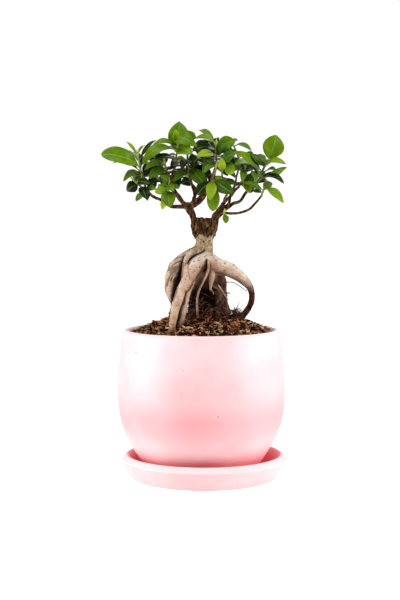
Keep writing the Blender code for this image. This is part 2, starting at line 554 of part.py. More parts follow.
def tapered_routes(table, steps):
    """A smooth route for each tube of a table."""
    return {name: catmull_rom(route(rows), steps.get(name, steps["other"]))
            for name, rows in table.items()}


def build_trunk(collection, surface, root_routes, branch_routes):
    """The grown wood in one body: swollen roots, the stump that was cut and the grafted branches."""
    tubes = new_collection("grown_together")
    trunk = new_object("trunk", tube_mesh(root_routes["neck"], NECK_SIDES), collection)
    for name, points in root_routes.items():
        if name != "neck":
            new_object(name, tube_mesh(points, tube_sides(points)), tubes)
    new_object("stump", tube_mesh(route(STUMP), STUMP_SIDES), tubes)
    for name, points in branch_routes.items():
        new_object(name, tube_mesh(points, tube_sides(points)), tubes)
    combine(trunk, tubes)
    trunk.data.materials.clear()
    trunk.data.materials.append(surface)
    trunk.data.shade_smooth()
    trunk.data.set_sharp_from_angle(angle=WOOD_EDGE)
    return trunk


# Leafy shoots

def along(points, share):
    """The place at a share of a tube's length."""
    lengths = [(b - a).xyz.length for a, b in zip(points, points[1:])]
    left = share * sum(lengths)
    for a, b, length in zip(points, points[1:], lengths):
        if left <= length:
            return a.lerp(b, left / length).xyz
        left -= length
    return points[-1].xyz


def blade_half_width(share, egg):
    """Half the blade's breadth at a share of the leaf, for a full width of 1."""
    s = max(0.0, (share - PETIOLE_SHARE) / (1 - PETIOLE_SHARE))
    return 0.5 * math.sin(math.pi * s ** egg) ** (BLUNTNESS / egg)


def leaf_surface(base, tip, leaf, stations):
    """The leaf's open surface, as places, faces and the way its upper side looks at each place.

    The midrib goes from base to tip in a shallow bow, and the two halves of the blade rise from
    it by the fold.
    """
    ahead = tip - base
    face = math.radians(leaf.face)
    up = Vector((0, -math.sin(face), math.cos(face)))
    up = (up - ahead * (up.dot(ahead) / ahead.length_squared)).normalized()
    side = ahead.normalized().cross(up)
    places = []
    rows = []
    for share in stations:
        middle = base + ahead * share + up * (leaf.bow * MM * 4 * share * (1 - share))
        if share <= PETIOLE_SHARE:
            half = side * PETIOLE_HALF_WIDTH
            row = [middle - half, middle + half]
        else:
            half = leaf.width * MM * blade_half_width(share, leaf.egg)
            edge = side * (half * math.cos(BLADE_FOLD))
            lift = up * (half * math.sin(BLADE_FOLD))
            row = [middle - edge + lift, middle, middle + edge + lift]
        rows.append(list(range(len(places), len(places) + len(row))))
        places.extend(row)
    places.append(tip)
    faces = []
    for low, high in zip(rows, rows[1:]):
        if len(low) == len(high):
            faces.extend((a, b, d, c) for a, b, c, d in zip(low, low[1:], high, high[1:]))
        else:
            left, right = low
            faces.extend([(left, high[1], high[0]), (left, right, high[1]), (right, high[2], high[1])])
    last = rows[-1]
    faces.extend([(last[0], last[1], len(places) - 1), (last[1], last[2], len(places) - 1)])
    return places, faces, up


def search_tree(mesh):
    return BVHTree.FromPolygons([v.co for v in mesh.vertices], [tuple(p.vertices) for p in mesh.polygons])


def swollen_tree(places, faces, up):
    """A search tree of the leaf with its thickness and the air around it."""
    half = up * (BLADE_THICKNESS / 2 + AIR)
    count = len(places)
    both = [p + half for p in places] + [p - half for p in places]
    shell = [tuple(face) for face in faces] + [tuple(i + count for i in reversed(face)) for face in faces]
    edges = {(a, b) for face in faces for a, b in zip(face, (*face[1:], face[0]))}
    rim = [(a, b) for a, b in edges if (b, a) not in edges]
    shell.extend((b, a, a + count, b + count) for a, b in rim)
    return BVHTree.FromPolygons(both, shell)


def leaf_mesh(places, faces):
    """The leaf's solid: its open surface with a thickness."""
    mesh = bpy.data.meshes.new("leaf")
    mesh.from_pydata(places, [], faces)
    holder = bpy.data.objects.new("leaf", mesh)
    bpy.context.scene.collection.objects.link(holder)
    wall = holder.modifiers.new("Thickness", "SOLIDIFY")
    wall.thickness = BLADE_THICKNESS
    wall.offset = 0
    solid = evaluated_mesh(holder)
    bpy.data.objects.remove(holder)
    return solid


def twig_route(branch, rows):
    """A shoot's twig, which starts in line with the end of its branch and a hair's breadth off."""
    return [onward(branch, GAP), onward(branch, 4 * GAP), *route(rows)]


def back_leaves(count, twig):
    """Places for a hidden shoot's leaves, set round its twig by the golden angle, tips out and up.

    There are more places than leaves, because the leaves nearest to other shoots don't fit.
    """
    found = []
    places = count * SPARE_PLACES
    for i in range(places):
        share = (i * SPARE_STRIDE % places) / (places - 1)
        turn = GOLDEN_ANGLE * (i + count)
        rise = LOWEST_RISE + (HIGHEST_RISE - LOWEST_RISE) * share
        length = BACK_LEAF_LENGTH * (1 + BACK_LEAF_SWING * math.sin(SWING_STEP * i))
        out = Vector((math.sin(turn) * math.cos(rise), math.cos(turn) * math.cos(rise), math.sin(rise)))
        x, z, y = as_seen(along(twig, share) + out * length)
        lean = -BACK_LEAF_LEAN * math.cos(turn)
        found.append(Leaf(share, x, z, y, BACK_LEAF_WIDTH, lean, BACK_LEAF_BOW))
    return found


def place_leaf(base, leaf, stations, others, own):
    """The leaf's surface at the depth nearest to its own at which it clears everything else.

    Near the twig a leaf may meet the other leaves of its shoot, because their stalks join there.
    """
    for step in DEPTH_STEPS:
        places, faces, up = leaf_surface(base, seen(leaf.x, leaf.z, leaf.y + step), leaf, stations)
        whole = swollen_tree(places, faces, up)
        blade = swollen_tree(places, faces[1:], up)
        if any(whole.overlap(tree) for tree in others):
            continue
        if not any(blade.overlap(tree) for tree in own):
            return places, faces, whole, blade
    return None


def stem_share(twig, share):
    """Where a leaf may join its twig: clear of the branch below and sunk in the twig's end."""
    length = sum((b - a).xyz.length for a, b in zip(twig, twig[1:]))
    return min(max(share, FREE_STEM / length), 1 - SUNK / length)


def placed_leaves(twigs, wood):
    """The surface of every leaf of every shoot, placed one after another, each clear of the rest."""
    twig_trees = {name: search_tree(tube_mesh(points, TWIG_SIDES)) for name, points in twigs.items()}
    finished = []
    found = {}
    for name, shoot in SHOOTS.items():
        twig = twigs[name]
        by_rule = isinstance(shoot.leaves, int)
        wanted = shoot.leaves if by_rule else len(shoot.leaves)
        leaves = back_leaves(wanted, twig) if by_rule else shoot.leaves
        stations = HIDDEN_STATIONS if by_rule else BLADE_STATIONS
        others = wood + finished + [tree for other, tree in twig_trees.items() if other != name]
        placed = []
        for number, leaf in enumerate(leaves):
            if len(placed) == wanted:
                break
            base = along(twig, stem_share(twig, leaf.at))
            result = place_leaf(base, leaf, stations, others, [blade for *_, blade in placed])
            if result:
                placed.append(result)
            elif not by_rule:
                print("no room for leaf", number, "of", name)
        finished.extend(whole for _, _, whole, _ in placed)
        found[name] = [(places, faces) for places, faces, _, _ in placed]
        print(name, "has", len(placed), "of", wanted, "leaves")
    return found


def build_shoots(collection, surface, root_routes, branch_routes):
    """One body for each leafy shoot: its twig with its leaves."""
    grown = (*root_routes.values(), *branch_routes.values())
    wood = [search_tree(tube_mesh(points, TWIG_SIDES)) for points in grown]
    twigs = {name: twig_route(branch_routes[shoot.branch], shoot.twig) for name, shoot in SHOOTS.items()}
    for name, leaves in placed_leaves(twigs, wood).items():
        blades = new_collection("blades")
        shoot = new_object(name, tube_mesh(twigs[name], TWIG_SIDES), collection)
        for places, faces in leaves:
            new_object("leaf", leaf_mesh(places, faces), blades)
        combine(shoot, blades)
        shoot.data.materials.clear()
        shoot.data.materials.append(surface)
        shoot.data.shade_smooth()
        shoot.data.set_sharp_from_angle(angle=LEAF_EDGE)


def main():
    clear_scene()
    parts = new_collection("ginseng_ficus")
    pink = material("pink_matt_glaze", "FABEC1", 0.6)
    earth = material("bark_soil", "3A2618", 0.95)
    wood = material("ficus_bark", "A98B6B", 0.8)
    green = material("ficus_leaf", "4E7A14", 0.35)
    root_routes = tapered_routes(ROOTS, ROOT_STEPS)
    branch_routes = tapered_routes(BRANCHES, BRANCH_STEPS)
    saucer = build_saucer(parts, pink)
    saucer.location.x = SAUCER_SHIFT
    build_pot(parts, pink)
    build_soil(parts, earth, root_routes)
    build_trunk(parts, wood, root_routes, branch_routes)
    build_shoots(parts, green, root_routes, branch_routes)


main()
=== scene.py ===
# %% [markdown]
# # A grafted ginseng ficus in its pot
#
# The plant is a young fig. Its swollen roots were lifted out of the soil, cut off at the top and
# grafted with small-leaved branches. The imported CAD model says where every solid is, but coloured
# as it is it would look like a toy. So each solid gets its real surface and finish here, and every
# surface is a formula of two parameters, worked out with numpy.

# %% Load the frame
import math
from collections import namedtuple

import bpy
import numpy as np
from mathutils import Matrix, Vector


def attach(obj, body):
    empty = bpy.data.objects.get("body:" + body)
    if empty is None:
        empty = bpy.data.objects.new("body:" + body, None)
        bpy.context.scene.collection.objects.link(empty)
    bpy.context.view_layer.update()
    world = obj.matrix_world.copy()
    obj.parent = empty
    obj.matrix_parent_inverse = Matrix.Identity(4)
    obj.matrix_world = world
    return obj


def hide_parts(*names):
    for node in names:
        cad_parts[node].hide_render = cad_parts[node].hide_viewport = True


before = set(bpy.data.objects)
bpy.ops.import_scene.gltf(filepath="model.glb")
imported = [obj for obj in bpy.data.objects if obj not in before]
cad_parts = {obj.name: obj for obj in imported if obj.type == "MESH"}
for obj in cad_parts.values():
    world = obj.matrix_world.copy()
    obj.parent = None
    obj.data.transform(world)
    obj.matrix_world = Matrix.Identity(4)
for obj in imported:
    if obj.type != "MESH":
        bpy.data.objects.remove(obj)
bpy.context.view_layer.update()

MM = 0.001
print("nodes:", ", ".join(sorted(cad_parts)))

# %% [markdown]
# ## The place of the viewer
#
# The rims of pot and saucer are ellipses in the picture, and how flat each is tells where the
# camera stood: 0.25 m above the table and 1.21 m away. Turning it until the picture fits would
# give no single answer. A point is given by where it is seen on the upright plane through the
# pot's axis, and by its real depth behind that plane.

# %% Camera
VIEWER = np.array([-1.2, -1213.0, 249.0])
FOCAL_IN_PIXELS = 1348
FRAME_HEIGHT = 600
SENSOR = 36.0
TILT = math.radians(4.16)


def sight_line(x, z, depth):
    """Points, in millimetres, at depths y on the line of sight through (x, z) of the axis plane."""
    share = 1 - np.asarray(depth)[..., None] / VIEWER[1]
    return VIEWER + (np.array([x, 0, z]) - VIEWER) * share


def seen(x, z, y):
    """The point, in metres, at depth y on the line of sight through (x, z) of the axis plane."""
    return sight_line(x, z, y) * MM


def front_place(p):
    """Where points, in millimetres, are seen on the axis plane: the (x, z) that seen() takes."""
    return (VIEWER + (p - VIEWER) / (1 - p[..., 1:2] / VIEWER[1]))[..., [0, 2]]


def add_camera():
    lens = bpy.data.cameras.new("photo_view")
    lens.sensor_fit = "VERTICAL"
    lens.sensor_height = SENSOR
    lens.lens = FOCAL_IN_PIXELS / FRAME_HEIGHT * SENSOR
    holder = bpy.data.objects.new("photo_view", lens)
    holder.location = VIEWER * MM
    holder.rotation_euler = (math.pi / 2 - TILT, 0, 0)
    bpy.context.scene.collection.objects.link(holder)
    bpy.context.scene.camera = holder
    return lens


print("lens in mm:", round(add_camera().lens, 1))

# %% [markdown]
# ## Finishes as small node trees
#
# A material is a tree of nodes, and each takes three or four lines when made by hand. So one
# function, `add`, puts a node in a tree with its settings and links. A colour is the sRGB value
# that a paint chart shows. Shade falls between shreds, in forks and deep among leaves, and there
# it is painted into the colour. Each such place could be painted by a mask, but the Ambient
# Occlusion node finds them all.

# %% Node tools
def linear(code):
    """Blender's linear colour from an sRGB hex code such as F5BFC2."""
    parts = [int(code[i:i + 2], 16) / 255 for i in (0, 2, 4)]
    return (*[c / 12.92 if c <= 0.04045 else ((c + 0.055) / 1.055) ** 2.4 for c in parts], 1)


def plug(node, **inputs):
    """Gives a node's inputs a value each, or the output of another node.

    An input is named by its label, or by its number after a low line.
    """
    for name, value in inputs.items():
        socket = node.inputs[int(name[1:])] if name[0] == "_" else node.inputs[name.replace("_", " ")]
        if isinstance(value, bpy.types.NodeSocket):
            node.id_data.links.new(value, socket)
        else:
            socket.default_value = value


def add(tree, kind, settings=None, out=0, stops=(), **inputs):
    """Adds a node with its settings, inputs and ramp stops (place, sRGB code); gives an output."""
    node = tree.nodes.new("ShaderNode" + kind)
    for name, value in (settings or {}).items():
        setattr(node, name, value)
    for i, (place, code) in enumerate(stops):
        points = node.color_ramp.elements
        point = points[i] if i < len(points) else points.new(place)
        point.position = place
        point.color = linear(code)
    plug(node, **inputs)
    return node.outputs[out]


def new_finish(name):
    """A material, its tree and its main shader."""
    finish = bpy.data.materials.new(name)
    finish.use_nodes = True
    return finish, finish.node_tree, finish.node_tree.nodes["Principled BSDF"]


def per_mm(size):
    """The scale of a texture whose cells are to be a number of millimetres wide."""
    return 1 / (size * MM)


def coated(tree, colour, coats):
    """Coats over a colour, each where the mesh's named value, 0 to 1, says so."""
    for name, coat in coats:
        share = add(tree, "Attribute", {"attribute_name": name}, out="Fac")
        colour = add(tree, "MixRGB", _0=share, _1=colour, _2=coat)
    return colour


OPEN_SKY = 0.8
CLOSED_SKY = 0.25


def occlusion_shaded(tree, colour, reach, deep, most):
    """Painted shade: a deep colour where other surfaces are within reach (mm) all round."""
    sky = add(tree, "AmbientOcclusion", {"samples": 8}, out="AO", Distance=reach * MM)
    closed = add(tree, "MapRange", Value=sky, _1=CLOSED_SKY, _2=OPEN_SKY, _3=most, _4=0.0)
    return add(tree, "MixRGB", _0=closed, _1=colour, _2=linear(deep))


print("dirt begins where less than", OPEN_SKY, "of the sky is seen")

# %% [markdown]
# ## A studio with soft light
#
# The picture was taken on white paper that is overexposed: no horizon shows and shadows stay
# faint. A very bright floor would do that too, but flood the pot from below. So the paper glows
# only a little, as real paper does under the saucer, and gets its full white where the camera
# itself looks at it.

# %% Floor and surroundings
FLOOR_WHITE = 0.80
PAPER_GLOW = 0.45
OVEREXPOSURE = 0.80
SKY_STRENGTH = 0.06
WHITE = (1, 1, 1, 1)


def glowing_for_the_camera(tree, shader, output, glow):
    """Adds a white glow to a shader, but only where the camera itself looks at it."""
    kind = "Emission" if output.name == "Material Output" else "Background"
    both = add(tree, "AddShader", _0=shader, _1=add(tree, kind, Color=WHITE, Strength=glow))
    looked_at = add(tree, "LightPath", out="Is Camera Ray")
    plug(output, Surface=add(tree, "MixShader", _0=looked_at, _1=shader, _2=both))


def white_paper():
    """Matt studio paper: it has no shine, and a faint glow stands for the light it throws back."""
    paper, tree, shader = new_finish("white_studio_paper")
    grey = (FLOOR_WHITE, FLOOR_WHITE, FLOOR_WHITE, 1)
    plug(shader, Base_Color=grey, Roughness=0.9, Specular_IOR_Level=0.0)
    plug(shader, Emission_Color=WHITE, Emission_Strength=PAPER_GLOW)
    glowing_for_the_camera(tree, shader.outputs["BSDF"], tree.nodes["Material Output"], OVEREXPOSURE)
    return paper


def add_floor():
    mesh = bpy.data.meshes.new("studio_floor")
    half = 40.0
    corners = [(-half, -half, 0), (half, -half, 0), (half, half, 0), (-half, half, 0)]
    mesh.from_pydata(corners, [], [(0, 1, 2, 3)])
    mesh.materials.append(white_paper())
    floor = bpy.data.objects.new("studio_floor", mesh)
    bpy.context.scene.collection.objects.link(floor)


def add_surroundings():
    sky = bpy.data.worlds.new("white_surroundings")
    sky.use_nodes = True
    tree = sky.node_tree
    background = tree.nodes["Background"]
    plug(background, Color=WHITE, Strength=SKY_STRENGTH)
    glowing_for_the_camera(tree, background.outputs[0], tree.nodes["World Output"], 1.0)
    bpy.context.scene.world = sky


add_floor()
add_surroundings()
bpy.context.scene.view_settings.view_transform = "Standard"
print("floor and surroundings are white")

# %% [markdown]
# ### Softboxes
#
# The pot's flanks are nearly white and its front is a deeper pink, so most of the light comes from
# two large softboxes at the sides. One above the camera, and weaker ones above and behind, keep
# the leaves from going dark. One lamp at the front would be simpler, but turn the pot's shading
# round.

# %% Lights
# Place, size across and power of each
SOFTBOXES = {
    "left_softbox": ((-1.0, -0.20, 0.30), 0.7, 8.9),
    "right_softbox": ((1.0, -0.20, 0.30), 0.7, 8.9),
    "front_softbox": ((-0.1, -0.70, 1.20), 0.8, 6.5),
    "top_softbox": ((-0.05, -0.05, 1.3), 0.9, 4.6),
    "back_softbox": ((0.30, 1.10, 0.80), 0.8, 4.0),
}
AIM = Vector((0, 0, 0.17))


def add_lights():
    for name, (place, size, power) in SOFTBOXES.items():
        lamp = bpy.data.lights.new(name, "AREA")
        lamp.shape = "DISK"
        lamp.size = size
        lamp.energy = power
        holder = bpy.data.objects.new(name, lamp)
        holder.location = place
        holder.rotation_euler = (AIM - holder.location).to_track_quat("-Z", "Y").to_euler()
        bpy.context.scene.collection.objects.link(holder)


add_lights()
print("softboxes:", len(SOFTBOXES))

# %% [markdown]
# ## Surfaces from grids
#
# A shape could be pulled out of boxes by hand. Here it is a grid of points, whose rows run along
# the piece and whose columns run across or round it, because a formula gives all of them at once.
# `Shell` keeps such points with their faces, surface coordinates and named values. Fans close a
# body's ends.

# %% Grids and fans
Shell = namedtuple("Shell", "points faces uv values")


def grid_faces(rows, columns, wrap):
    """Four-sided faces between neighbouring points of a grid, whose columns may meet."""
    r = np.arange(rows - 1)[:, None] * columns
    c = np.arange(columns if wrap else columns - 1)[None, :]
    after = (c + 1) % columns
    return np.stack([r + c, r + after, r + columns + after, r + columns + c], -1).reshape(-1, 4)


def fan_faces(centre, ring, outward):
    """Triangles from a point to a ring, kept as four-sided faces with a corner twice."""
    ring = np.asarray(ring)
    after = np.roll(ring, -1)
    first, second = (ring, after) if outward else (after, ring)
    return np.stack([np.full(len(ring), centre), first, second, np.full(len(ring), centre)], -1)


def closed_faces(rows, columns, outward):
    """A closed body's faces: columns that meet, and fans to its last two points."""
    ring = np.arange(columns)
    grid = grid_faces(rows, columns, True)
    first = fan_faces(rows * columns, ring, not outward)
    last = fan_faces(rows * columns + 1, (rows - 1) * columns + ring, outward)
    return np.vstack([grid if outward else grid[:, ::-1], first, last])


def plain_shell(points, faces, **values):
    """A shell from points in millimetres, without surface coordinates."""
    return Shell(points * MM, faces, np.zeros((len(points), 2)), values)


def gathered(shells):
    """Many shells as one."""
    offsets = np.cumsum([0] + [len(s.points) for s in shells[:-1]])
    return Shell(
        np.vstack([s.points for s in shells]),
        np.vstack([s.faces + o for s, o in zip(shells, offsets)]),
        np.vstack([s.uv for s in shells]),
        {name: np.concatenate([s.values[name] for s in shells]) for name in shells[0].values},
    )


print("a grid of 3 by 4 points has", len(grid_faces(3, 4, False)), "faces")

# %% [markdown]
# ### Tubes
#
# Roots, twigs, stalks and hairs are tubes: a ring of points carried along a curve without twist.
# Blender's curves have a round section too, but their rings can't be made uneven point by point.

# %% Tubes
def carried_normal(along):
    """A direction across a curve for each of its points, which turns no more than it must."""
    normal = np.zeros_like(along)
    guess = np.array([0.0, -1.0, 0.0]) if abs(along[0, 1]) < 0.9 else np.array([1.0, 0.0, 0.0])
    for i, ahead in enumerate(along):
        guess = guess - ahead * guess.dot(ahead)
        guess /= np.linalg.norm(guess) + 1e-12
        normal[i] = guess
    return normal


def tube_shell(spine, radius, sides, values=None):
    """A closed tube: point(s, a) = spine(s) + radius(s, a) (cos a N(s) + sin a B(s)).

    N and B are carried along the spine without twist. radius may be one number for each row, or
    one for each row and side, for a tube that isn't round.
    """
    spine, radius = np.asarray(spine, float), np.asarray(radius, float)
    rows = len(spine)
    radius = radius[:, None] * np.ones(sides) if radius.ndim == 1 else radius
    along = np.gradient(spine, axis=0)
    along /= np.linalg.norm(along, axis=1, keepdims=True) + 1e-12
    normal = carried_normal(along)
    binormal = np.cross(along, normal)
    angle = np.linspace(0, 2 * np.pi, sides, endpoint=False)
    ring = np.cos(angle)[None, :, None] * normal[:, None] + np.sin(angle)[None, :, None] * binormal[:, None]
    points = (spine[:, None] + radius[..., None] * ring).reshape(-1, 3)
    points = np.vstack([points, spine[0], spine[-1]])
    length = np.concatenate([[0], np.cumsum(np.linalg.norm(np.diff(spine, axis=0), axis=1))])
    uv = np.stack(np.broadcast_arrays(angle[None] / (2 * np.pi), length[:, None]), -1).reshape(-1, 2)
    uv = np.vstack([uv, [0, 0], [0, length[-1]]])
    given = {}
    for name, value in (values or {}).items():
        by_row = np.broadcast_to(value, rows)
        given[name] = np.concatenate([np.repeat(by_row, sides), by_row[[0, -1]]])
    return Shell(points, closed_faces(rows, sides, True), uv, given)


sample = tube_shell(np.linspace((0, 0, 0), (0, 0, 1), 5), np.ones(5), 6)
print("a tube of 5 rings with 6 sides has", len(sample.points), "points")

# %% [markdown]
# ### From a shell to a mesh
#
# A shell's arrays go into the mesh whole, which is far quicker than adding face by face. Every
# object stays at the origin, so a pattern in object coordinates keeps its place.

# %% Meshes and pieces
def mesh_of(name, shell):
    """A mesh from a shell's points and faces. A face with a corner twice becomes a triangle."""
    mesh = bpy.data.meshes.new(name)
    kept = np.ones(shell.faces.shape, bool)
    kept[:, 3] = shell.faces[:, 0] != shell.faces[:, 3]
    corners = kept.sum(axis=1)
    mesh.vertices.add(len(shell.points))
    mesh.vertices.foreach_set("co", shell.points.astype(np.float32).ravel())
    mesh.loops.add(int(corners.sum()))
    mesh.loops.foreach_set("vertex_index", shell.faces[kept].astype(np.int32))
    mesh.polygons.add(len(corners))
    mesh.polygons.foreach_set("loop_start", (np.cumsum(corners) - corners).astype(np.int32))
    mesh.update(calc_edges=True)
    return mesh


def keep_values(mesh, values):
    """Gives each point of a mesh its named numbers, which the finish reads as attributes."""
    for name, numbers in values.items():
        attribute = mesh.attributes.new(name, "FLOAT", "POINT")
        attribute.data.foreach_set("value", np.asarray(numbers, np.float32))


def placed(name, mesh, finish):
    """Puts a mesh in the scene as a piece with its finish, on the CAD body that it rides on."""
    mesh.shade_smooth()
    mesh.materials.append(finish)
    piece = bpy.data.objects.new(name, mesh)
    bpy.context.scene.collection.objects.link(piece)
    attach(piece, "root")
    print(name, "has", len(mesh.polygons), "faces")
    return piece


def make_piece(name, shell, finish):
    """A piece from a shell, with its surface coordinates and named values."""
    mesh = mesh_of(name, shell)
    corners = np.empty(len(mesh.loops), np.int32)
    mesh.loops.foreach_get("vertex_index", corners)
    layer = mesh.uv_layers.new(name="surface")
    layer.data.foreach_set("uv", shell.uv[corners].astype(np.float32).ravel())
    keep_values(mesh, shell.values)
    return placed(name, mesh, finish)


# %% [markdown]
# ### Curves and chance
#
# A few measured points make a smooth curve by the Catmull-Rom formula, which passes through all of
# them, as a Bezier curve would not. Unevenness is noise on a lattice of seeded random numbers, so
# the plant is the same each time.

# %% Curves and noise
# The root of every cloud of random numbers in this file
SEED = 7
LATTICE = 32


def smooth_path(points, steps):
    """A smooth curve through rows of any width (Catmull-Rom), with steps between each two."""
    p = np.asarray(points, float)
    ends = np.vstack([2 * p[0] - p[1], p, 2 * p[-1] - p[-2]])
    t = np.linspace(0, 1, steps, endpoint=False)[None, :, None]
    a, b, c, d = (ends[i:len(ends) - 3 + i][:, None] for i in range(4))
    curve = 0.5 * (2 * b + (c - a) * t + (2 * a - 5 * b + 4 * c - d) * t ** 2
                   + (3 * b - a - 3 * c + d) * t ** 3)
    return np.vstack([curve.reshape(-1, p.shape[1]), p[-1]])


def lattice_noise(points, size, seed):
    """Smooth random values, -1 to 1, at points, from a lattice with cells of a size."""
    rng = np.random.default_rng(SEED + seed)
    table = rng.uniform(-1, 1, (LATTICE, LATTICE, LATTICE))
    q = np.asarray(points) / size
    low = np.floor(q).astype(int)
    f = q - low
    f = f * f * (3 - 2 * f)
    total = np.zeros(len(q))
    for corner in range(8):
        step = np.array([corner & 1, corner >> 1 & 1, corner >> 2 & 1])
        index = (low + step) % LATTICE
        weight = np.prod(np.where(step, f, 1 - f), axis=1)
        total += weight * table[index[:, 0], index[:, 1], index[:, 2]]
    return total


def step_between(low, high, value):
    """0 at low and before it, 1 at high and past it, and a smooth rise between them."""
    t = np.clip((value - low) / (high - low), 0, 1)
    return t * t * (3 - 2 * t)


print("noise in the middle of the pot:", round(lattice_noise(np.zeros((1, 3)), 1.0, 0)[0], 2))

# %% [markdown]
# ## The pot
#
# The pot is cast stoneware with a belly, a rounded lip and a foot. It could be stacked from rings,
# but a potter's way is simpler: one closed line, down the belly, in under the foot, through the
# drain hole and up inside, is turned about the axis. Cast ware is never quite round, so the radius
# wavers by a thousandth, which the Screw modifier couldn't do.

# %% The pot's section
# Outer radius and height of the belly, in millimetres, from its foot up
POT_BELLY = [
    (51.0, 6.3), (55.8, 17), (63.6, 29.5), (70.6, 43.6), (74.8, 61),
    (76.0, 79), (75.3, 98), (73.1, 117), (70.5, 131.5),
]
POT_TOP = 134.5
POT_WALL = 6.0
POT_FOOT = 6.3
POT_FLOOR = 13.3
FLOOR_RADIUS = 43.5
FOOT_RADIUS = 47.0
FOOT_INNER_RADIUS = 41.0
FOOT_RECESS = 2.0
CORNER = 0.6
# The hollow keeps the belly's curve between these heights
HOLLOW_FROM = 25.0
HOLLOW_TO = 125.5
LIP = 3.0
DRAIN = 6.0
GROOVE_HEIGHT = 128.0
GROOVE_DEPTH = 0.35
GROOVE_WIDTH = 0.8


def arc(radius, height, size, first, last, count):
    """Points on an arc of a section, about a centre at (radius, height), angles in degrees."""
    angle = np.radians(np.linspace(first, last, count))
    return np.stack([radius + size * np.cos(angle), height + size * np.sin(angle)], -1)


def pot_section():
    """The closed line: radius and height, in millimetres. The groove is depth exp(-(dz/width)^2)."""
    belly = smooth_path(POT_BELLY, 8)[::-1]
    groove = GROOVE_DEPTH * np.exp(-((belly[:, 1] - GROOVE_HEIGHT) / GROOVE_WIDTH) ** 2)
    belly = belly - np.stack([groove, 0 * groove], -1)
    lip_at = (POT_BELLY[-1][0] - LIP, POT_TOP - LIP)
    hollow = smooth_path(POT_BELLY, 3)
    inside = [(r - POT_WALL, z) for r, z in hollow if HOLLOW_FROM < z < HOLLOW_TO]
    return np.vstack([
        arc(*lip_at, LIP, 90, 8, 8),
        belly,
        [(FOOT_RADIUS + 2.6, POT_FOOT + 0.05), (FOOT_RADIUS, POT_FOOT)],
        [(FOOT_INNER_RADIUS + 0.5, POT_FOOT + 0.5), (FOOT_INNER_RADIUS, POT_FOOT + FOOT_RECESS)],
        [(DRAIN + CORNER, POT_FOOT + FOOT_RECESS), (DRAIN, POT_FOOT + FOOT_RECESS + CORNER)],
        [(DRAIN, POT_FLOOR - CORNER), (DRAIN + CORNER, POT_FLOOR), (FLOOR_RADIUS, POT_FLOOR)],
        inside,
        arc(*lip_at, LIP, 176, 102, 7),
    ])


TURN_SIDES = 160


def turned_shell(section, closed, seed):
    """point(s, a) = (r(s) cos a, r(s) sin a, z(s)), from a section of (r, z) in millimetres.

    r wavers by a slow noise. A section that isn't closed starts and ends on the axis.
    """
    sides = TURN_SIDES
    angle = np.linspace(0, 2 * np.pi, sides, endpoint=False)
    section = np.asarray(section, float)
    ring = section if closed else section[1:-1]
    r, z = ring[:, :1], ring[:, 1:]
    points = np.stack(np.broadcast_arrays(r * np.cos(angle), r * np.sin(angle), z), -1).reshape(-1, 3)
    points[:, :2] *= 1 + 0.0012 * lattice_noise(points, 45.0, seed)[:, None]
    rows = len(ring)
    if not closed:
        points = np.vstack([points, [0, 0, section[0, 1]], [0, 0, section[-1, 1]]])
        return plain_shell(points, closed_faces(rows, sides, False))
    first, last = np.arange(sides), (rows - 1) * sides + np.arange(sides)
    seam = np.stack([last, first, np.roll(first, -1), np.roll(last, -1)], -1)
    return plain_shell(points, np.vstack([grid_faces(rows, sides, True)[:, ::-1], seam]))


print("sides of the turned ware:", TURN_SIDES)

# %% [markdown]
# ## The saucer's section
#
# The saucer is a flat disc with a flared wall and a thick rounded band at its rim, turned like the
# pot and set a little to the right, as in the picture. Some specks of the glaze lie on its wall.
# Their places can't be picked on a curve by hand, so each line of sight is followed until it meets
# the wall.

# %% The saucer's section
SAUCER_SHIFT = 2.6
SAUCER_TOP = 21.5
SAUCER_FLOOR = 6.0
SAUCER_EDGE = 1.7
# Radius and height of the outer wall, in millimetres, from under the band to the foot
SAUCER_WALL = [
    (74.75, 16.8), (74.3, 15.4), (73.9, 14.2), (72.8, 11.6), (70.5, 6.6), (67.2, 2.1), (65.2, 0.2),
]


def saucer_section():
    """The floor, the inner wall, a small round edge, a bevel, a narrow step and the outer wall."""
    return np.vstack([
        [(0, SAUCER_FLOOR), (10, SAUCER_FLOOR), (52, SAUCER_FLOOR), (58, SAUCER_FLOOR)],
        [(60.4, SAUCER_FLOOR + 0.9), (62, SAUCER_FLOOR + 2.6), (64.6, 12.8), (67.6, 18.6)],
        arc(69.9, SAUCER_TOP - SAUCER_EDGE, SAUCER_EDGE, 172, 90, 6),
        [(70.5, SAUCER_TOP - 0.08), (71.2, SAUCER_TOP - 0.5), (72.4, 19.9), (73.6, 18.4), (74.4, 17.4)],
        smooth_path(SAUCER_WALL, 3),
        [(64.2, 0), (20, 0), (0, 0)],
    ])


def on_ware(x, z, wall, shift):
    """The first point of a turned wall on the line of sight through (x, z)."""
    sight = sight_line(x, z, np.linspace(-85, 0, 1701))
    r, h = np.array(sorted(wall, key=lambda row: row[1])).T
    inside = np.hypot(sight[:, 0] - shift, sight[:, 1]) <= np.interp(sight[:, 2], h, r)
    return sight[np.argmax(inside)]


# x and z as seen, radius in millimetres, and how dark
POT_MARKS = [
    (-59.1, 113.1, 0.55, 0.9), (-16.6, 96.3, 0.4, 0.6), (15.1, 54.3, 0.5, 0.7), (2.4, 24.4, 0.45, 0.7),
    (-17.5, 76.2, 0.35, 0.35), (-17.6, 74.6, 0.3, 0.3), (-17.5, 72.8, 0.3, 0.35), (-17.7, 71.0, 0.35, 0.3),
]
SAUCER_MARKS = [(-41.7, -1.9, 0.5, 0.6), (15.2, -3.7, 0.45, 0.6), (-62.3, 4.7, 0.9, 0.25)]
BLEMISHES = [(on_ware(x, z, POT_BELLY, 0), r, dark) for x, z, r, dark in POT_MARKS]
BLEMISHES += [(on_ware(x, z, SAUCER_WALL, SAUCER_SHIFT), r, dark) for x, z, r, dark in SAUCER_MARKS]
print("blemishes on the ware:", len(BLEMISHES))
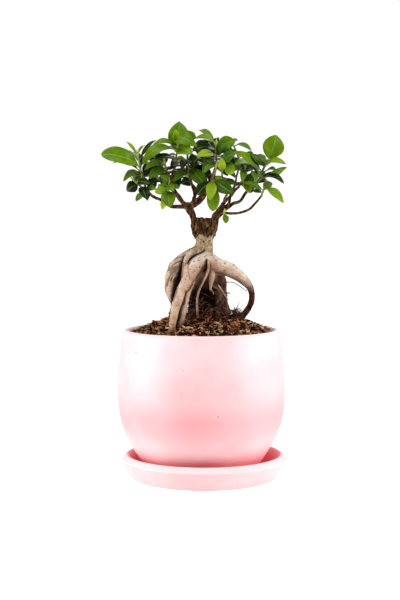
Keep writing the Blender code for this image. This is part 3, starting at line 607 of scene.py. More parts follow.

# %% [markdown]
# ### Matt pink slip on stoneware
#
# The coat is a pigmented slip, fired to a soft sheen without sharp reflections. Its pink is
# painted deeper low on the belly as shade and paler above and below it as light; it is faintly
# cloudy, with dark specks of the clay and upright scuffs. The deep band could be painted as an
# image; a ramp over the height is exact and easy to change.

# %% Pink stoneware finish
SHADE_RAMP_TOP = 130
# The pink from the table up to the ramp's top, painted deepest low on the belly as shade
PINK_AND_PAINTED_SHADE = [
    (0.0, "FFD0D2"), (0.16, "FFD0D2"), (0.27, "FFCED0"), (0.38, "FFB8BC"), (0.46, "FFB4B8"), (0.60, "FFCBCE"),
    (0.8, "FFD4D7"), (1.0, "FFDDE0"),
]


def shaded_pink(tree, place):
    """The pink over the height, painted deeper low on the belly as shade, made a little cloudy."""
    height = add(tree, "SeparateXYZ", out="Z", Vector=place)
    level = add(tree, "MapRange", Value=height, _1=0.0, _2=SHADE_RAMP_TOP * MM, _3=0.0, _4=1.0)
    pink_by_height = add(tree, "ValToRGB", stops=PINK_AND_PAINTED_SHADE, _0=level)
    cloud = add(tree, "TexNoise", Vector=place, Scale=per_mm(28), Detail=3.0)
    thin = add(tree, "ValToRGB", stops=[(0.3, "F4F0F0"), (0.7, "FFFFFF")], _0=cloud)
    return add(tree, "MixRGB", {"blend_type": "MULTIPLY"}, _0=1.0, _1=pink_by_height, _2=thin)


def scuffed_and_specked(tree, place, colour):
    """Faint upright scuffs, and round specks in some of the cells of a Voronoi pattern."""
    long_way = add(tree, "Mapping", Vector=place, Scale=(1.0, 1.0, 0.12))
    scuffs = add(tree, "TexNoise", Vector=long_way, Scale=per_mm(1.6), Detail=2.0)
    worn = add(tree, "MapRange", Value=scuffs, _1=0.70, _2=0.78, _3=0.0, _4=0.35)
    scuffed = add(tree, "MixRGB", _0=worn, _1=colour, _2=linear("E99AA0"))
    distance = add(tree, "TexVoronoi", Vector=place, Scale=per_mm(11))
    chosen = add(tree, "SeparateColor", Color=distance.node.outputs["Color"])
    size = add(tree, "MapRange", Value=chosen, _1=0.62, _2=1.0, _3=0.0, _4=0.042)
    near = add(tree, "Math", {"operation": "SUBTRACT"}, _0=size, _1=distance)
    speck = add(tree, "MapRange", Value=near, _1=0.0, _2=0.012, _3=0.0, _4=0.75)
    return add(tree, "MixRGB", _0=speck, _1=scuffed, _2=linear("6B4A48"))


def blemished(tree, place, colour):
    """The marks that the picture shows, each a small soft disc on the wall."""
    for spot, radius, dark in BLEMISHES:
        away = add(tree, "VectorMath", {"operation": "DISTANCE"}, out="Value", _0=place, _1=tuple(spot * MM))
        mask = add(tree, "MapRange", Value=away, _1=radius * MM, _2=1.35 * radius * MM, _3=dark, _4=0.0)
        colour = add(tree, "MixRGB", _0=mask, _1=colour, _2=linear("5A3A3C"))
    return colour


def pink_stoneware():
    """Matt slip on stoneware: a broad soft sheen over a fine grit, and no sharp reflection."""
    finish, tree, shader = new_finish("matt_pink_stoneware")
    place = add(tree, "TexCoord", out="Object")
    coat = scuffed_and_specked(tree, place, shaded_pink(tree, place))
    # The crevice painted deep pink as bounced light
    coat = blemished(tree, place, coated(tree, coat, [("crevice", linear("FF6372"))]))
    # The lip and the bevel painted nearly white as highlights
    coat = coated(tree, coat, [("edge", linear("FFF1F0"))])
    grit = add(tree, "TexNoise", Vector=place, Scale=per_mm(0.9), Detail=3.0)
    rough = add(tree, "MapRange", Value=grit, _3=0.44, _4=0.56)
    relief = add(tree, "Bump", Strength=0.25, Distance=0.05 * MM, Height=grit)
    plug(shader, Base_Color=coat, Roughness=rough, Normal=relief, IOR=1.45)
    return finish


PINK = pink_stoneware()
print("finish:", PINK.name)

# %% [markdown]
# ### Painted bounced light in the crevice, and painted highlights
#
# Pot and saucer throw pink light at each other, so the crevice between them is painted deep pink
# as that light. The lip and the saucer's bevel are painted nearly white as highlights. Both are
# stored on the points, because a height alone can't tell the crevice from the saucer's outer wall.

# %% Pot and saucer
# Where the crevice is painted deep pink as the light that pot and saucer throw at each other
CREVICE_TOP = 24
CREVICE_BOTTOM = 5
CREVICE_FADE = 12
CREVICE_DEPTH = 0.88


def with_crevice(shell, outer):
    """Marks where pot and saucer face each other, and returns the points' radius and height too."""
    r = np.hypot(shell.points[:, 0], shell.points[:, 1]) / MM
    z = shell.points[:, 2] / MM
    low = np.clip((CREVICE_TOP - z) / CREVICE_FADE, 0, 1) * (z > CREVICE_BOTTOM)
    between = np.clip((r - 46) / 4, 0, 1) * np.clip((outer - r) / 2, 0, 1)
    shell.values["crevice"] = CREVICE_DEPTH * low * between
    return shell, r, z


pot_shell, r, z = with_crevice(turned_shell(pot_section(), True, 1), 66)
# A painted highlight, nearly white, on the pot's lip
pot_shell.values["edge"] = 0.6 * (r < 69.5) * (z > 128)
POT = make_piece("stoneware_pot", pot_shell, PINK)
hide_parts("pot")

saucer_shell, r, z = with_crevice(turned_shell(saucer_section(), False, 2), 69.5)
# A painted highlight, nearly white, on the saucer's bevel
saucer_shell.values["edge"] = 0.5 * (r > 70.4) * (z > 16.6)
saucer_shell.points[:, 0] += SAUCER_SHIFT * MM
SAUCER = make_piece("stoneware_saucer", saucer_shell, PINK)
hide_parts("saucer")

# %% [markdown]
# ## The soil
#
# Coarse bark soil is heaped up round the roots. A flat disc would show as a lid, so the surface is
# a disc of rings in the shape of a low mound, with the lumps of the CAD solid and a finer crumb.

# %% Soil bed
SOIL_EDGE = 130.0
SOIL_RADIUS = 64.2
SOIL_CROWN = 17.0
SOIL_TILT = 0.03
SOIL_LUMP = 0.9
SOIL_RINGS = 120
SOIL_SIDES = 260
SOIL_BOTTOM = 13.6
SOIL_BASE = 43.4
SOIL_CLEARANCE = 0.4
# Height and size of the crumbs in millimetres, and the seed of each layer
CRUMBS = [(0.8, 3.4, 11), (0.5, 1.7, 12), (0.3, 0.9, 13)]


def soil_height(x, y):
    """The mound: edge + crown (1 - (r/R)^2) + tilt x + lumps, in millimetres, as the CAD has it."""
    inside = np.maximum(0, 1 - (x ** 2 + y ** 2) / SOIL_RADIUS ** 2)
    lumps = np.sin(0.21 * x + 1.3) * np.sin(0.19 * y + 0.4) + 0.5 * np.sin(0.43 * x - 0.38 * y)
    return SOIL_EDGE + inside * SOIL_CROWN + (SOIL_TILT * x + SOIL_LUMP * lumps) * inside ** 0.5


def crumb(x, y):
    """The finer relief: layers of noise, the smallest about a millimetre wide."""
    flat = np.stack([x, y, 0 * x], -1).reshape(-1, 3)
    return sum(height * lattice_noise(flat, size, seed) for height, size, seed in CRUMBS).reshape(x.shape)


def soil_shell():
    """point(k, a) = (r cos a, r sin a, height + crumb) with r = R sqrt(k), closed by wall and base."""
    ring = SOIL_RADIUS * np.sqrt(np.linspace(0.00005, 1, SOIL_RINGS))
    angle = np.linspace(0, 2 * np.pi, SOIL_SIDES, endpoint=False)
    x, y = ring[:, None] * np.cos(angle), ring[:, None] * np.sin(angle)
    z = soil_height(x, y) + crumb(x, y) * np.clip((SOIL_RADIUS - ring[:, None]) / 3, 0.3, 1)
    belly = [(r, h) for r, h in POT_BELLY[::-1] if HOLLOW_FROM < h < HOLLOW_TO]
    wall = [(r - POT_WALL - SOIL_CLEARANCE, h) for r, h in belly]
    wall.append((SOIL_BASE, SOIL_BOTTOM))
    side = [np.stack([r * np.cos(angle), r * np.sin(angle), 0 * angle + h], -1) for r, h in wall]
    points = np.concatenate([np.stack([x, y, z], -1), np.array(side)]).reshape(-1, 3)
    rows = SOIL_RINGS + len(wall)
    points = np.vstack([points, [0, 0, soil_height(0, 0)], [0, 0, SOIL_BOTTOM]])
    return plain_shell(points, closed_faces(rows, SOIL_SIDES, False))


print("the mound stands", round(float(soil_height(0, 0)) - SOIL_EDGE, 1), "mm over its edge")

# %% [markdown]
# ### Damp peat
#
# Damp peat is almost black, with brown crumbs and no shine. One brown would look like clay, so a
# noise of crumb size picks from four, and the narrow places between the crumbs are painted nearly
# black as shade.

# %% Peat finish
DRY_SHEEN = 0.06
PEAT_BROWNS = [(0.38, "0A0403"), (0.5, "20110A"), (0.62, "472819"), (0.74, "7A5030")]


def damp_peat():
    """Damp peat: dull, dark and crumbly, as its wet fibres swallow the light."""
    finish, tree, shader = new_finish("damp_peat")
    place = add(tree, "TexCoord", out="Object")
    crumbs = add(tree, "TexNoise", Vector=place, Scale=per_mm(2.2), Detail=5.0, Roughness=0.65)
    colour = add(tree, "ValToRGB", stops=PEAT_BROWNS, _0=crumbs)
    relief = add(tree, "Bump", Strength=0.8, Distance=0.4 * MM, Height=crumbs)
    # Ambient occlusion paints shade nearly black into the peat's narrow places
    plug(shader, Base_Color=occlusion_shaded(tree, colour, 8, "070302", 0.7), Normal=relief)
    plug(shader, Roughness=0.95, Specular_IOR_Level=DRY_SHEEN)
    return finish


SOIL = make_piece("soil_bed", soil_shell(), damp_peat())
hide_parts("soil")

# %% [markdown]
# ## Splinters
#
# Shreds of bark, chips and the flakes on the stump are splinters: four rings of five points,
# narrow at both ends, each point moved a little. Thousands of objects would be slow, so all are
# one array. The shreds are strewn evenly, a third of them thin fibres, and the larger chips in
# front are laid one by one.

# %% Splinters
SPLINTER_SIDES = 5
SPLINTER_GIRTH = np.array([0.45, 1.0, 0.9, 0.35])
SPLINTER_RINGS = len(SPLINTER_GIRTH)
SPLINTER_SHIFT = 0.12
SPLINTER_BEND = 0.9


def turning(yaw, pitch, roll):
    """Rotation matrices for arrays of angles: roll about X, then pitch about Y, then yaw about Z."""
    cy, sy = np.cos(yaw), np.sin(yaw)
    cp, sp = np.cos(pitch), np.sin(pitch)
    cr, sr = np.cos(roll), np.sin(roll)
    return np.stack([
        np.stack([cy * cp, cy * sp * sr - sy * cr, cy * sp * cr + sy * sr], -1),
        np.stack([sy * cp, sy * sp * sr + cy * cr, sy * sp * cr - cy * sr], -1),
        np.stack([-sp, cp * sr, cp * cr], -1),
    ], -2)


def splinter_shell(centre, size, turn, tone, rng):
    """Splinters at centres (N, 3), with (length, breadth, thickness), turned, in millimetres.

    point(i, a) = centre + turn (length (s + shift), breadth (g cos a + bend s^2), thickness g sin a),
    where s is the ring's station from -1/2 to 1/2 and g its girth.
    """
    count = len(centre)
    each = (count, SPLINTER_RINGS, SPLINTER_SIDES)
    station = np.linspace(-0.5, 0.5, SPLINTER_RINGS)[None, :, None]
    angle = np.linspace(0, 2 * np.pi, SPLINTER_SIDES, endpoint=False)
    lengthwise = station + rng.uniform(-SPLINTER_SHIFT, SPLINTER_SHIFT, each)
    around = SPLINTER_GIRTH[None, :, None] * rng.uniform(0.5, 1.25, each) * 0.5
    bend = rng.uniform(-SPLINTER_BEND, SPLINTER_BEND, count)[:, None, None] * station ** 2
    shape = np.stack([lengthwise, np.cos(angle) * around + bend, np.sin(angle) * around], -1)
    shape = (shape * size[:, None, None, :]).reshape(count, -1, 3)
    points = np.einsum("nij,nkj->nki", turn, shape) + centre[:, None, :]
    ends = np.stack([points[:, :SPLINTER_SIDES].mean(1), points[:, -SPLINTER_SIDES:].mean(1)], 1)
    points = np.concatenate([points, ends], 1)
    corners = points.shape[1]
    faces = closed_faces(SPLINTER_RINGS, SPLINTER_SIDES, True)
    faces = (faces[None] + corners * np.arange(count)[:, None, None]).reshape(-1, 4)
    return plain_shell(points.reshape(-1, 3), faces, tone=np.repeat(tone, corners))


SHRED_COUNT = 2700
FIBRE_SHARE = 0.35
# Shreds round this place under the roots are darkened by this share, as painted shade
UNDER_ROOTS_SHADE_AT = (6, -2)
UNDER_ROOTS_SHADE_REACH = (17, 24)
UNDER_ROOTS_SHADE_DARKENS = 0.6
# Chips in front: x and z as seen, length, breadth, which way they point in degrees, and tone
CHIPS = [
    (12, 138.5, 4.5, 2.2, 20, 0.8), (15.4, 137, 3.4, 2.0, -35, 0.85), (-3, 138.4, 4.2, 2.0, -15, 0.75),
    (-8.5, 136.8, 3.6, 1.6, 50, 0.6), (22.6, 136.5, 5.0, 1.8, 8, 0.7), (39.5, 139.0, 4.0, 2.4, -25, 0.66),
    (-33, 136.6, 5.2, 2.0, 12, 0.7), (-44, 135.4, 4.6, 2.0, -20, 0.74), (47, 135.8, 5.4, 1.7, 14, 0.78),
    (3.5, 135.8, 3.0, 1.6, 70, 0.5), (-20, 135.6, 4.4, 1.5, -8, 0.62), (31, 142.5, 4.0, 1.4, 40, 0.5),
]


def bark_shreds():
    """Shreds and fibres, as many to each square millimetre in the middle as at the rim."""
    rng = np.random.default_rng(SEED + 21)
    n = SHRED_COUNT
    radius = (SOIL_RADIUS - 2.5) * np.sqrt(rng.uniform(0, 1, n))
    angle = rng.uniform(0, 2 * np.pi, n)
    x, y = radius * np.cos(angle), radius * np.sin(angle)
    fibre = rng.uniform(0, 1, n) < FIBRE_SHARE
    length = np.where(fibre, rng.uniform(4, 11, n), 1.6 + 5.5 * rng.uniform(0, 1, n) ** 1.6)
    breadth = np.where(fibre, rng.uniform(0.4, 1.0, n), length * rng.uniform(0.3, 0.8, n))
    size = np.stack([length, breadth, breadth * rng.uniform(0.3, 0.8, n)], -1)
    turn = turning(rng.uniform(0, 2 * np.pi, n), rng.normal(0, 0.42, n), rng.normal(0, 0.6, n))
    centre = np.stack([x, y, soil_height(x, y) + rng.uniform(-0.3, 1.5, n)], -1)
    # Shreds under the roots and the hollow are darker: painted shade
    off = [(axis - at) / reach for axis, at, reach in zip((x, y), UNDER_ROOTS_SHADE_AT, UNDER_ROOTS_SHADE_REACH)]
    under_roots_shade = np.exp(-off[0] ** 4 - off[1] ** 4)
    tone = (0.1 + rng.uniform(0, 1, n)) * (1 - UNDER_ROOTS_SHADE_DARKENS * under_roots_shade)
    return splinter_shell(centre, size, turn, tone, rng)


def on_soil(x, z):
    """The first point of the soil on the line of sight through (x, z)."""
    sight = sight_line(x, z, np.linspace(-66, 40, 1061))
    return sight[np.argmax(sight[:, 2] <= soil_height(sight[:, 0], sight[:, 1]))]


def front_chips():
    """The larger chips that the picture shows in front of the roots."""
    x, z, length, breadth, yaw, tone = np.array(CHIPS).T
    rng = np.random.default_rng(SEED + 22)
    centre = np.array([on_soil(*place) for place in zip(x, z)]) + [0, 0, 0.9]
    size = np.stack([length, breadth, 0.6 * breadth], -1)
    turn = turning(np.radians(yaw), rng.normal(0, 0.2, len(x)), rng.normal(0, 0.4, len(x)))
    return splinter_shell(centre, size, turn, tone, rng)


print("shreds and chips:", SHRED_COUNT + len(CHIPS))

# %% [markdown]
# ### Shredded bark
#
# Dry bark is pinkish tan and wet bark nearly black. One ramp holds both, and the tone that each
# shred carries, shifted by its grain, picks from it, so no two look the same.

# %% Bark shred finish
BARK_TONES = [
    (0.0, "0C0503"), (0.2, "2C150B"), (0.42, "683820"), (0.64, "A4673F"), (0.84, "C99468"), (1.0, "E6BF97"),
]


def shredded_bark():
    """Shredded pine bark: dull and not wet, with a torn grain."""
    finish, tree, shader = new_finish("shredded_bark")
    place = add(tree, "TexCoord", out="Object")
    grain = add(tree, "TexNoise", Vector=place, Scale=per_mm(1.1), Detail=3.0)
    tone = add(tree, "Attribute", {"attribute_name": "tone"}, out="Fac")
    level = add(tree, "Math", {"operation": "MULTIPLY_ADD"}, _0=grain, _1=0.5, _2=tone)
    shifted = add(tree, "Math", {"operation": "SUBTRACT"}, _0=level, _1=0.25)
    colour = add(tree, "ValToRGB", stops=BARK_TONES, _0=shifted)
    relief = add(tree, "Bump", Strength=0.5, Distance=0.2 * MM, Height=grain)
    # Ambient occlusion paints shade between the shreds
    plug(shader, Base_Color=occlusion_shaded(tree, colour, 4, "180904", 0.7), Normal=relief)
    plug(shader, Roughness=0.85, Specular_IOR_Level=DRY_SHEEN)
    return finish


BARK_BITS = shredded_bark()
SHREDS = make_piece("bark_shreds", gathered([bark_shreds(), front_chips()]), BARK_BITS)

# %% [markdown]
# ### Balls of fired clay
#
# Two granules of porous orange clay lie among the bark. A plain sphere would look like a bead, so
# noise makes them lumpy.

# %% Clay granules
BALL_RINGS = 9
BALL_SIDES = 14
# How far a ball's middle stands above the soil, as a share of its radius
BALL_RISE = 0.4
# x and z as seen, and radius
CLAY_BALLS = [(33, 140.5, 1.6), (31, 137.5, 2.0)]


def ball_shell(centre, radius, seed):
    """point(v, u) = centre + radius (1 + lump) (sin v cos u, sin v sin u, cos v)."""
    v = np.linspace(0.15, np.pi - 0.15, BALL_RINGS)[:, None]
    u = np.linspace(0, 2 * np.pi, BALL_SIDES, endpoint=False)[None]
    way = np.broadcast_arrays(np.sin(v) * np.cos(u), np.sin(v) * np.sin(u), np.cos(v))
    way = np.stack(way, -1).reshape(-1, 3)
    lumpy = 1 + 0.12 * lattice_noise(way, 0.7, seed)
    points = np.vstack([way * lumpy[:, None], [0, 0, 1], [0, 0, -1]]) * radius + centre
    return plain_shell(points, closed_faces(BALL_RINGS, BALL_SIDES, False))


def fired_clay():
    """Fired clay: orange, porous and without shine."""
    finish, tree, shader = new_finish("fired_clay")
    place = add(tree, "TexCoord", out="Object")
    grit = add(tree, "TexNoise", Vector=place, Scale=per_mm(0.6), Detail=3.0)
    stops = [(0.35, "8A4A26"), (0.6, "B9713F"), (0.75, "CF9261")]
    colour = add(tree, "ValToRGB", stops=stops, _0=grit)
    plug(shader, Base_Color=colour, Roughness=0.9, Specular_IOR_Level=DRY_SHEEN)
    return finish


balls = [
    ball_shell(on_soil(x, z) + [0, 0, BALL_RISE * radius], radius, 24 + i)
    for i, (x, z, radius) in enumerate(CLAY_BALLS)
]
CLAY = make_piece("clay_granules", gathered(balls), fired_clay())

# %% [markdown]
# ## The grown wood
#
# Under the cut stump the swollen roots arch down into the soil. Modelled by hand they would soon
# leave the CAD solid, so each is the CAD's own tapered tube along a smooth curve. A root is never
# evenly thick: a slow noise changes its radius.

# %% Where the wood runs
# A tube's points: x and z as seen on the axis plane, depth y, and radius, in millimetres
ROOTS = {
    "neck": [(2.7, 220.4, 0, 9.4), (3, 214, 0, 8), (2, 208, 0, 8.9), (0.5, 200, 1, 10.6), (0, 193, 3, 10)],
    "left_bulb": [
        (-1, 205, 4, 6.5), (-8, 201, 6, 6.4), (-14, 197.2, 7, 6.9), (-19.4, 192.2, 8, 8.3),
        (-22.8, 185.6, 9, 9.1), (-24.3, 178.2, 9, 9.3), (-24.6, 171, 9, 8.7), (-24.2, 164.4, 8, 7.1),
        (-23.8, 158.9, 7, 5.3), (-24.1, 154.1, 7, 3.8), (-26.2, 149.4, 7, 3), (-27.7, 142.8, 8, 2.8),
        (-28.5, 130, 9, 3),
    ],
    "left_strand": [
        (-2.5, 207.3, -2, 5.2), (-9.6, 201.4, -6, 4), (-13.4, 195.6, -10, 3.1), (-15, 188.3, -13, 2.6),
        (-15.9, 181.8, -16, 2.4), (-16.2, 176, -19, 2.2),
    ],
    "front_leg": [
        (6, 197, -9, 6.4), (1.5, 196.3, -11, 6.6), (-2.8, 193.4, -14, 7), (-6.7, 188.8, -17, 7),
        (-10, 182.6, -20, 6.2), (-12.6, 177.8, -22, 5.7), (-16.1, 171.6, -26, 5), (-19.2, 164.6, -30, 4.6),
        (-21.4, 157.7, -33, 4.5), (-23.1, 152.2, -35, 4.2), (-24.5, 145.9, -38, 4),
        (-25.4, 139.9, -41, 3.7), (-26.2, 132.7, -43, 3.5), (-26.8, 121, -45, 3.5),
    ],
    "second_leg": [
        (-9, 175, -19, 2.8), (-12, 168, -23, 2.8), (-13.5, 163, -26, 2.9), (-15, 157.2, -29, 2.9),
        (-16.2, 151.8, -31, 3), (-17.4, 145.9, -33, 3.1), (-18.7, 139.9, -36, 3.1), (-20.2, 134, -38, 3),
        (-21, 121, -39, 3),
    ],
    "right_arch": [
        (1, 197, -8, 6.8), (8.8, 195.1, -11, 7.5), (15.5, 191.6, -12, 7.1), (22.5, 189.4, -11.5, 6.7),
        (28.2, 186.7, -11, 6.3), (33.4, 183.1, -10, 5.6), (38, 179, -8, 4.9), (41.9, 174.9, -6.5, 4),
        (44.4, 170.5, -5, 3.2), (45.5, 165.5, -3, 2.8), (45.2, 160, -2, 2.7), (43.3, 154.6, 0, 2.7),
        (40.3, 150, 1, 2.9), (37.2, 146.4, 2, 3.2), (34, 141.5, 3, 3.3), (31, 130, 4, 3.2),
    ],
    "back_bulb": [
        (5, 198, 8, 8.5), (8, 188, 13, 10.7), (9, 178, 17, 13.4), (8, 168, 20, 15.5), (7.8, 158, 21, 16.8),
        (8.2, 148, 22, 18), (7.5, 132, 22, 13),
    ],
    "inner_root": [
        (3.2, 190, -3, 3.6), (1.8, 185, -2, 3.3), (-1, 180, -1, 3.1), (-3.6, 175.4, 0, 2.9),
        (-5.6, 170.8, 1, 2.8), (-8.2, 160, 3, 3), (-9, 145, 6, 3.2), (-9, 130, 7, 3.2),
    ],
    "pointed_root": [
        (9.4, 192, -12, 2.7), (9.5, 188, -13.5, 2.8), (9.6, 184.5, -14, 3), (9.5, 181, -14.5, 2.7),
        (8.9, 177, -15, 2), (8.5, 173, -15, 1.2), (8, 170, -15, 0.7),
    ],
    "curled_root": [
        (10, 175.5, 2, 2), (12.6, 173, 0, 1.8), (15.6, 171, -1, 1.6), (17.4, 167.6, -1, 1.5),
        (17.4, 164, 0, 1.4), (16, 160.6, 1, 1.2), (13.6, 157.6, 6, 1.1),
    ],
    "thin_root": [
        (6.3, 196, -18, 1.1), (6.5, 190, -20.5, 1), (5.7, 186, -21, 0.95), (4, 182, -20.5, 0.9),
        (1.4, 176.7, -19.5, 0.9), (-1.5, 170.8, -18.5, 0.9), (-3.3, 164.8, -17, 0.9),
        (-3.9, 158.9, -15.5, 0.9), (-3.7, 153, -14, 0.9), (-3.4, 147, -12, 0.9), (-3, 138, -10, 0.9),
    ],
}

STUMP = [(2.6, 214, 0, 8), (2.7, 219.6, 0, 9.6), (2.7, 223.4, 0, 10.8), (2.8, 228.5, 0, 12.2),
         (2.8, 234.2, 0, 11.2)]
BRANCHES = {
    "left_scion": [
        (-1.5, 223, -3, 4.2), (-5, 229, -5, 3.6), (-7.8, 235.6, -6, 3.1), (-9.6, 240.8, -5, 3.4),
        (-11.6, 244.6, -4, 3.7), (-12.8, 247, -3, 2.8),
    ],
    "right_scion": [
        (7, 223.5, -2, 4), (10.2, 228, -4, 3.8), (12.4, 234.6, -5, 3.4), (15.2, 239.4, -4, 3.1),
        (18, 243.5, -4, 2.4), (20, 247.4, -4, 1.6),
    ],
    "far_left": [
        (-12, 245, -3, 2.2), (-21.6, 245.2, -5, 1.7), (-27.6, 245.6, -6, 1.5), (-35.6, 250.2, -8, 1.3),
        (-44.2, 254.4, -10, 1.2), (-48.4, 259, -12, 1.1),
    ],
    "low_left": [(-39, 252, -9, 1.1), (-42, 253.4, -13, 1.1), (-45.6, 255.6, -17, 1)],
    "hanging_left": [(-26, 245.6, -5, 1.3), (-27.6, 248.6, -13, 1.1), (-29, 253.6, -21, 1)],
    "up_left": [
        (-13, 245.6, -4, 2), (-17.7, 250.6, -5, 1.5), (-23.2, 259.3, -6, 1.3), (-27, 268, -6, 1.15),
        (-29.5, 273.5, -6, 1),
    ],
    "up_left_fork": [
        (-26.8, 267.4, -6, 1), (-27.2, 271.3, -7, 1), (-24.2, 278.3, -9, 0.95), (-22.1, 282.3, -10, 0.9),
    ],
    "up_centre": [(-9.6, 245.6, -2, 2), (-6.2, 253.3, 0, 1.4), (-8.2, 263.3, 2, 1.2)],
    "to_right": [
        (-12, 244.4, -4, 3.2), (-7, 246.6, -5, 3), (-2.7, 249.6, -6, 2.9), (1.2, 253.8, -7, 2.6),
        (5, 260.6, -9, 2.2), (8.4, 267.4, -11, 1.9), (11.4, 274.6, -13, 1.6), (13.6, 281, -14, 1.3),
    ],
    "front_fork": [(5, 260.6, -9, 1.6), (7.6, 263.6, -17, 1.2), (9.4, 266.6, -24, 1.1)],
    "inner_fork": [(8.2, 267, -11, 1.5), (6.6, 272, -4, 1.2), (5.4, 277, 2, 1.1)],
    "right_up": [
        (16.8, 242.4, -4, 2), (24.6, 247.8, -6, 1.3), (26.4, 255, -7, 1.1), (28.6, 261.6, -7, 1),
        (31.8, 264.4, -7, 0.95), (36.3, 265.8, -7, 0.9),
    ],
    "right_up_fork": [(28.6, 261.4, -7, 1), (30.2, 264, -6, 0.95), (30.8, 267, -5, 0.9)],
    "right_long": [
        (15.6, 240.8, -3, 2.2), (21.6, 242.4, -2, 1.6), (28.3, 247.2, -1, 1.5), (34.8, 250.2, 1, 1.4),
        (39, 256.2, 2, 1.3), (41.4, 259.2, 3, 1.2), (45.6, 261, 4, 1.1),
    ],
    "right_bow": [
        (15.4, 240, -5, 2), (19.3, 239.4, -7, 1.4), (26.4, 238.5, -10, 1.3), (34.8, 239.4, -13, 1.2),
        (42, 241.8, -15, 1.1), (48.6, 247.8, -16, 1), (53.4, 253.8, -17, 0.9),
    ],
    "low_right": [(15.4, 239.6, -5, 1.8), (18.4, 239, -10, 1.1), (19.8, 238.8, -13, 1)],
    "back_left": [
        (-10.6, 242.4, -2, 2.4), (-18, 250, 9, 1.7), (-25, 258.6, 20, 1.4), (-31, 265.6, 29, 1.2),
    ],
    "back_centre": [(-6.8, 251, -1, 1.7), (-3.4, 261, 13, 1.4), (0, 271, 24, 1.2), (1, 277, 30, 1.1)],
    "back_right": [(13.4, 238.2, -3, 2.2), (19, 246.6, 10, 1.6), (27, 255.6, 22, 1.4), (33, 262, 29, 1.2)],
    "far_back": [(-4, 259.4, 11, 1.5), (-7.6, 264, 24, 1.2), (-10, 268, 36, 1.1)],
}
SLENDER_ROOTS = ("pointed_root", "curled_root", "thin_root")
SCIONS = ("left_scion", "right_scion")


def route(rows):
    """A tube's rows as an array of x, y, z and radius in metres."""
    return np.array([[*seen(x, z, y), r * MM] for x, z, y, r in rows])


def line_lengths(line):
    """How far along a line each of its points is, in metres."""
    steps = np.linalg.norm(np.diff(line[:, :3], axis=0), axis=1)
    return np.concatenate([[0], np.cumsum(steps)])


def wood_tube(rows, sides, steps, unevenness, seed, values=None):
    """A tube of radius r(s) (1 + unevenness noise), where the noise is slow along and round it."""
    line = smooth_path(route(rows), steps)
    angle = np.linspace(0, 2 * np.pi, sides, endpoint=False)
    round_it = np.stack([np.cos(angle), np.sin(angle), 0 * angle], -1)
    probe = line[:, None, :3] + 4 * MM * round_it[None]
    swell = lattice_noise(probe.reshape(-1, 3), 11 * MM, seed).reshape(len(line), sides)
    return tube_shell(line[:, :3], line[:, 3:] * (1 + unevenness * swell), sides, values)


print("length of the left scion in mm:", round(line_lengths(route(BRANCHES["left_scion"]))[-1] / MM, 1))

# %% [markdown]
# ### Melting the roots together
#
# The real roots have grown into one another, and tubes that pass through each other look like
# plumbing. Metaballs would melt them too, but swell at every joint. A voxel remesh takes their
# common outer skin, and smoothing softens the valleys; the stump's cut edge stays crisp.

# %% The common skin
VOXEL = 0.62 * MM
SMOOTH_ROUNDS = 4
STUMP_TOP = 234.5
CUT_EDGE = 2.5


def mesh_arrays(mesh):
    """The points of a mesh, and its edges as pairs of their numbers."""
    points = np.empty(len(mesh.vertices) * 3, np.float32)
    mesh.vertices.foreach_get("co", points)
    edges = np.empty(len(mesh.edges) * 2, np.int32)
    mesh.edges.foreach_get("vertices", edges)
    return points.reshape(-1, 3).astype(float), edges.reshape(-1, 2)


def move_points(mesh, points):
    """Puts the points of a mesh in new places."""
    mesh.vertices.foreach_set("co", points.astype(np.float32).ravel())
    mesh.update()


def smoothed(points, edges, rounds):
    """Each point moves halfway to the mean of its neighbours, a number of times."""
    size = len(points)
    count = np.bincount(edges.ravel(), minlength=size)[:, None]
    for _ in range(rounds):
        total = np.stack([
            np.bincount(edges[:, 0], points[edges[:, 1], axis], size)
            + np.bincount(edges[:, 1], points[edges[:, 0], axis], size) for axis in range(3)
        ], -1)
        points = 0.5 * points + 0.5 * total / count
    return points


def melted(shell):
    """The common outer skin of the tubes of a shell, as a mesh."""
    holder = bpy.data.objects.new("rough_wood", mesh_of("rough_wood", shell))
    bpy.context.scene.collection.objects.link(holder)
    remesh = holder.modifiers.new("Skin", "REMESH")
    remesh.mode = "VOXEL"
    remesh.voxel_size = VOXEL
    bpy.context.view_layer.update()
    skin = bpy.data.meshes.new_from_object(holder.evaluated_get(bpy.context.evaluated_depsgraph_get()))
    bpy.data.objects.remove(holder)
    return skin


def grown_together():
    """Thick roots, stump and scions as one smooth skin, and its points in metres."""
    tubes = [
        wood_tube(rows, 28, 8, 0.07, 40 + i)
        for i, (name, rows) in enumerate(ROOTS.items()) if name not in SLENDER_ROOTS
    ]
    tubes.append(wood_tube(STUMP, 32, 6, 0.05, 60))
    tubes.extend(wood_tube(BRANCHES[name], 24, 8, 0.08, 61) for name in SCIONS)
    skin = melted(gathered(tubes))
    points, edges = mesh_arrays(skin)
    near_cut = points[:, 2] > (STUMP_TOP - CUT_EDGE) * MM
    calm = smoothed(points, edges, SMOOTH_ROUNDS)
    points = np.where(near_cut[:, None], smoothed(points, edges, 2), calm)
    move_points(skin, points)
    return skin, points


STOCK_SKIN, STOCK_POINTS = grown_together()
print("points of the root stock:", len(STOCK_POINTS))

# %% [markdown]
# ### Creases and pits
#
# Where two swellings meet, the skin folds into a dark crease, and pits mark old rootlets. Noise
# wouldn't put them in their places. So each crease is a broken line as the viewer sees it, and the
# skin sinks by its distance from that line. The dark of creases and pits is painted shade.

# %% Creases as the viewer sees them
CREASE_DEPTH = 0.9
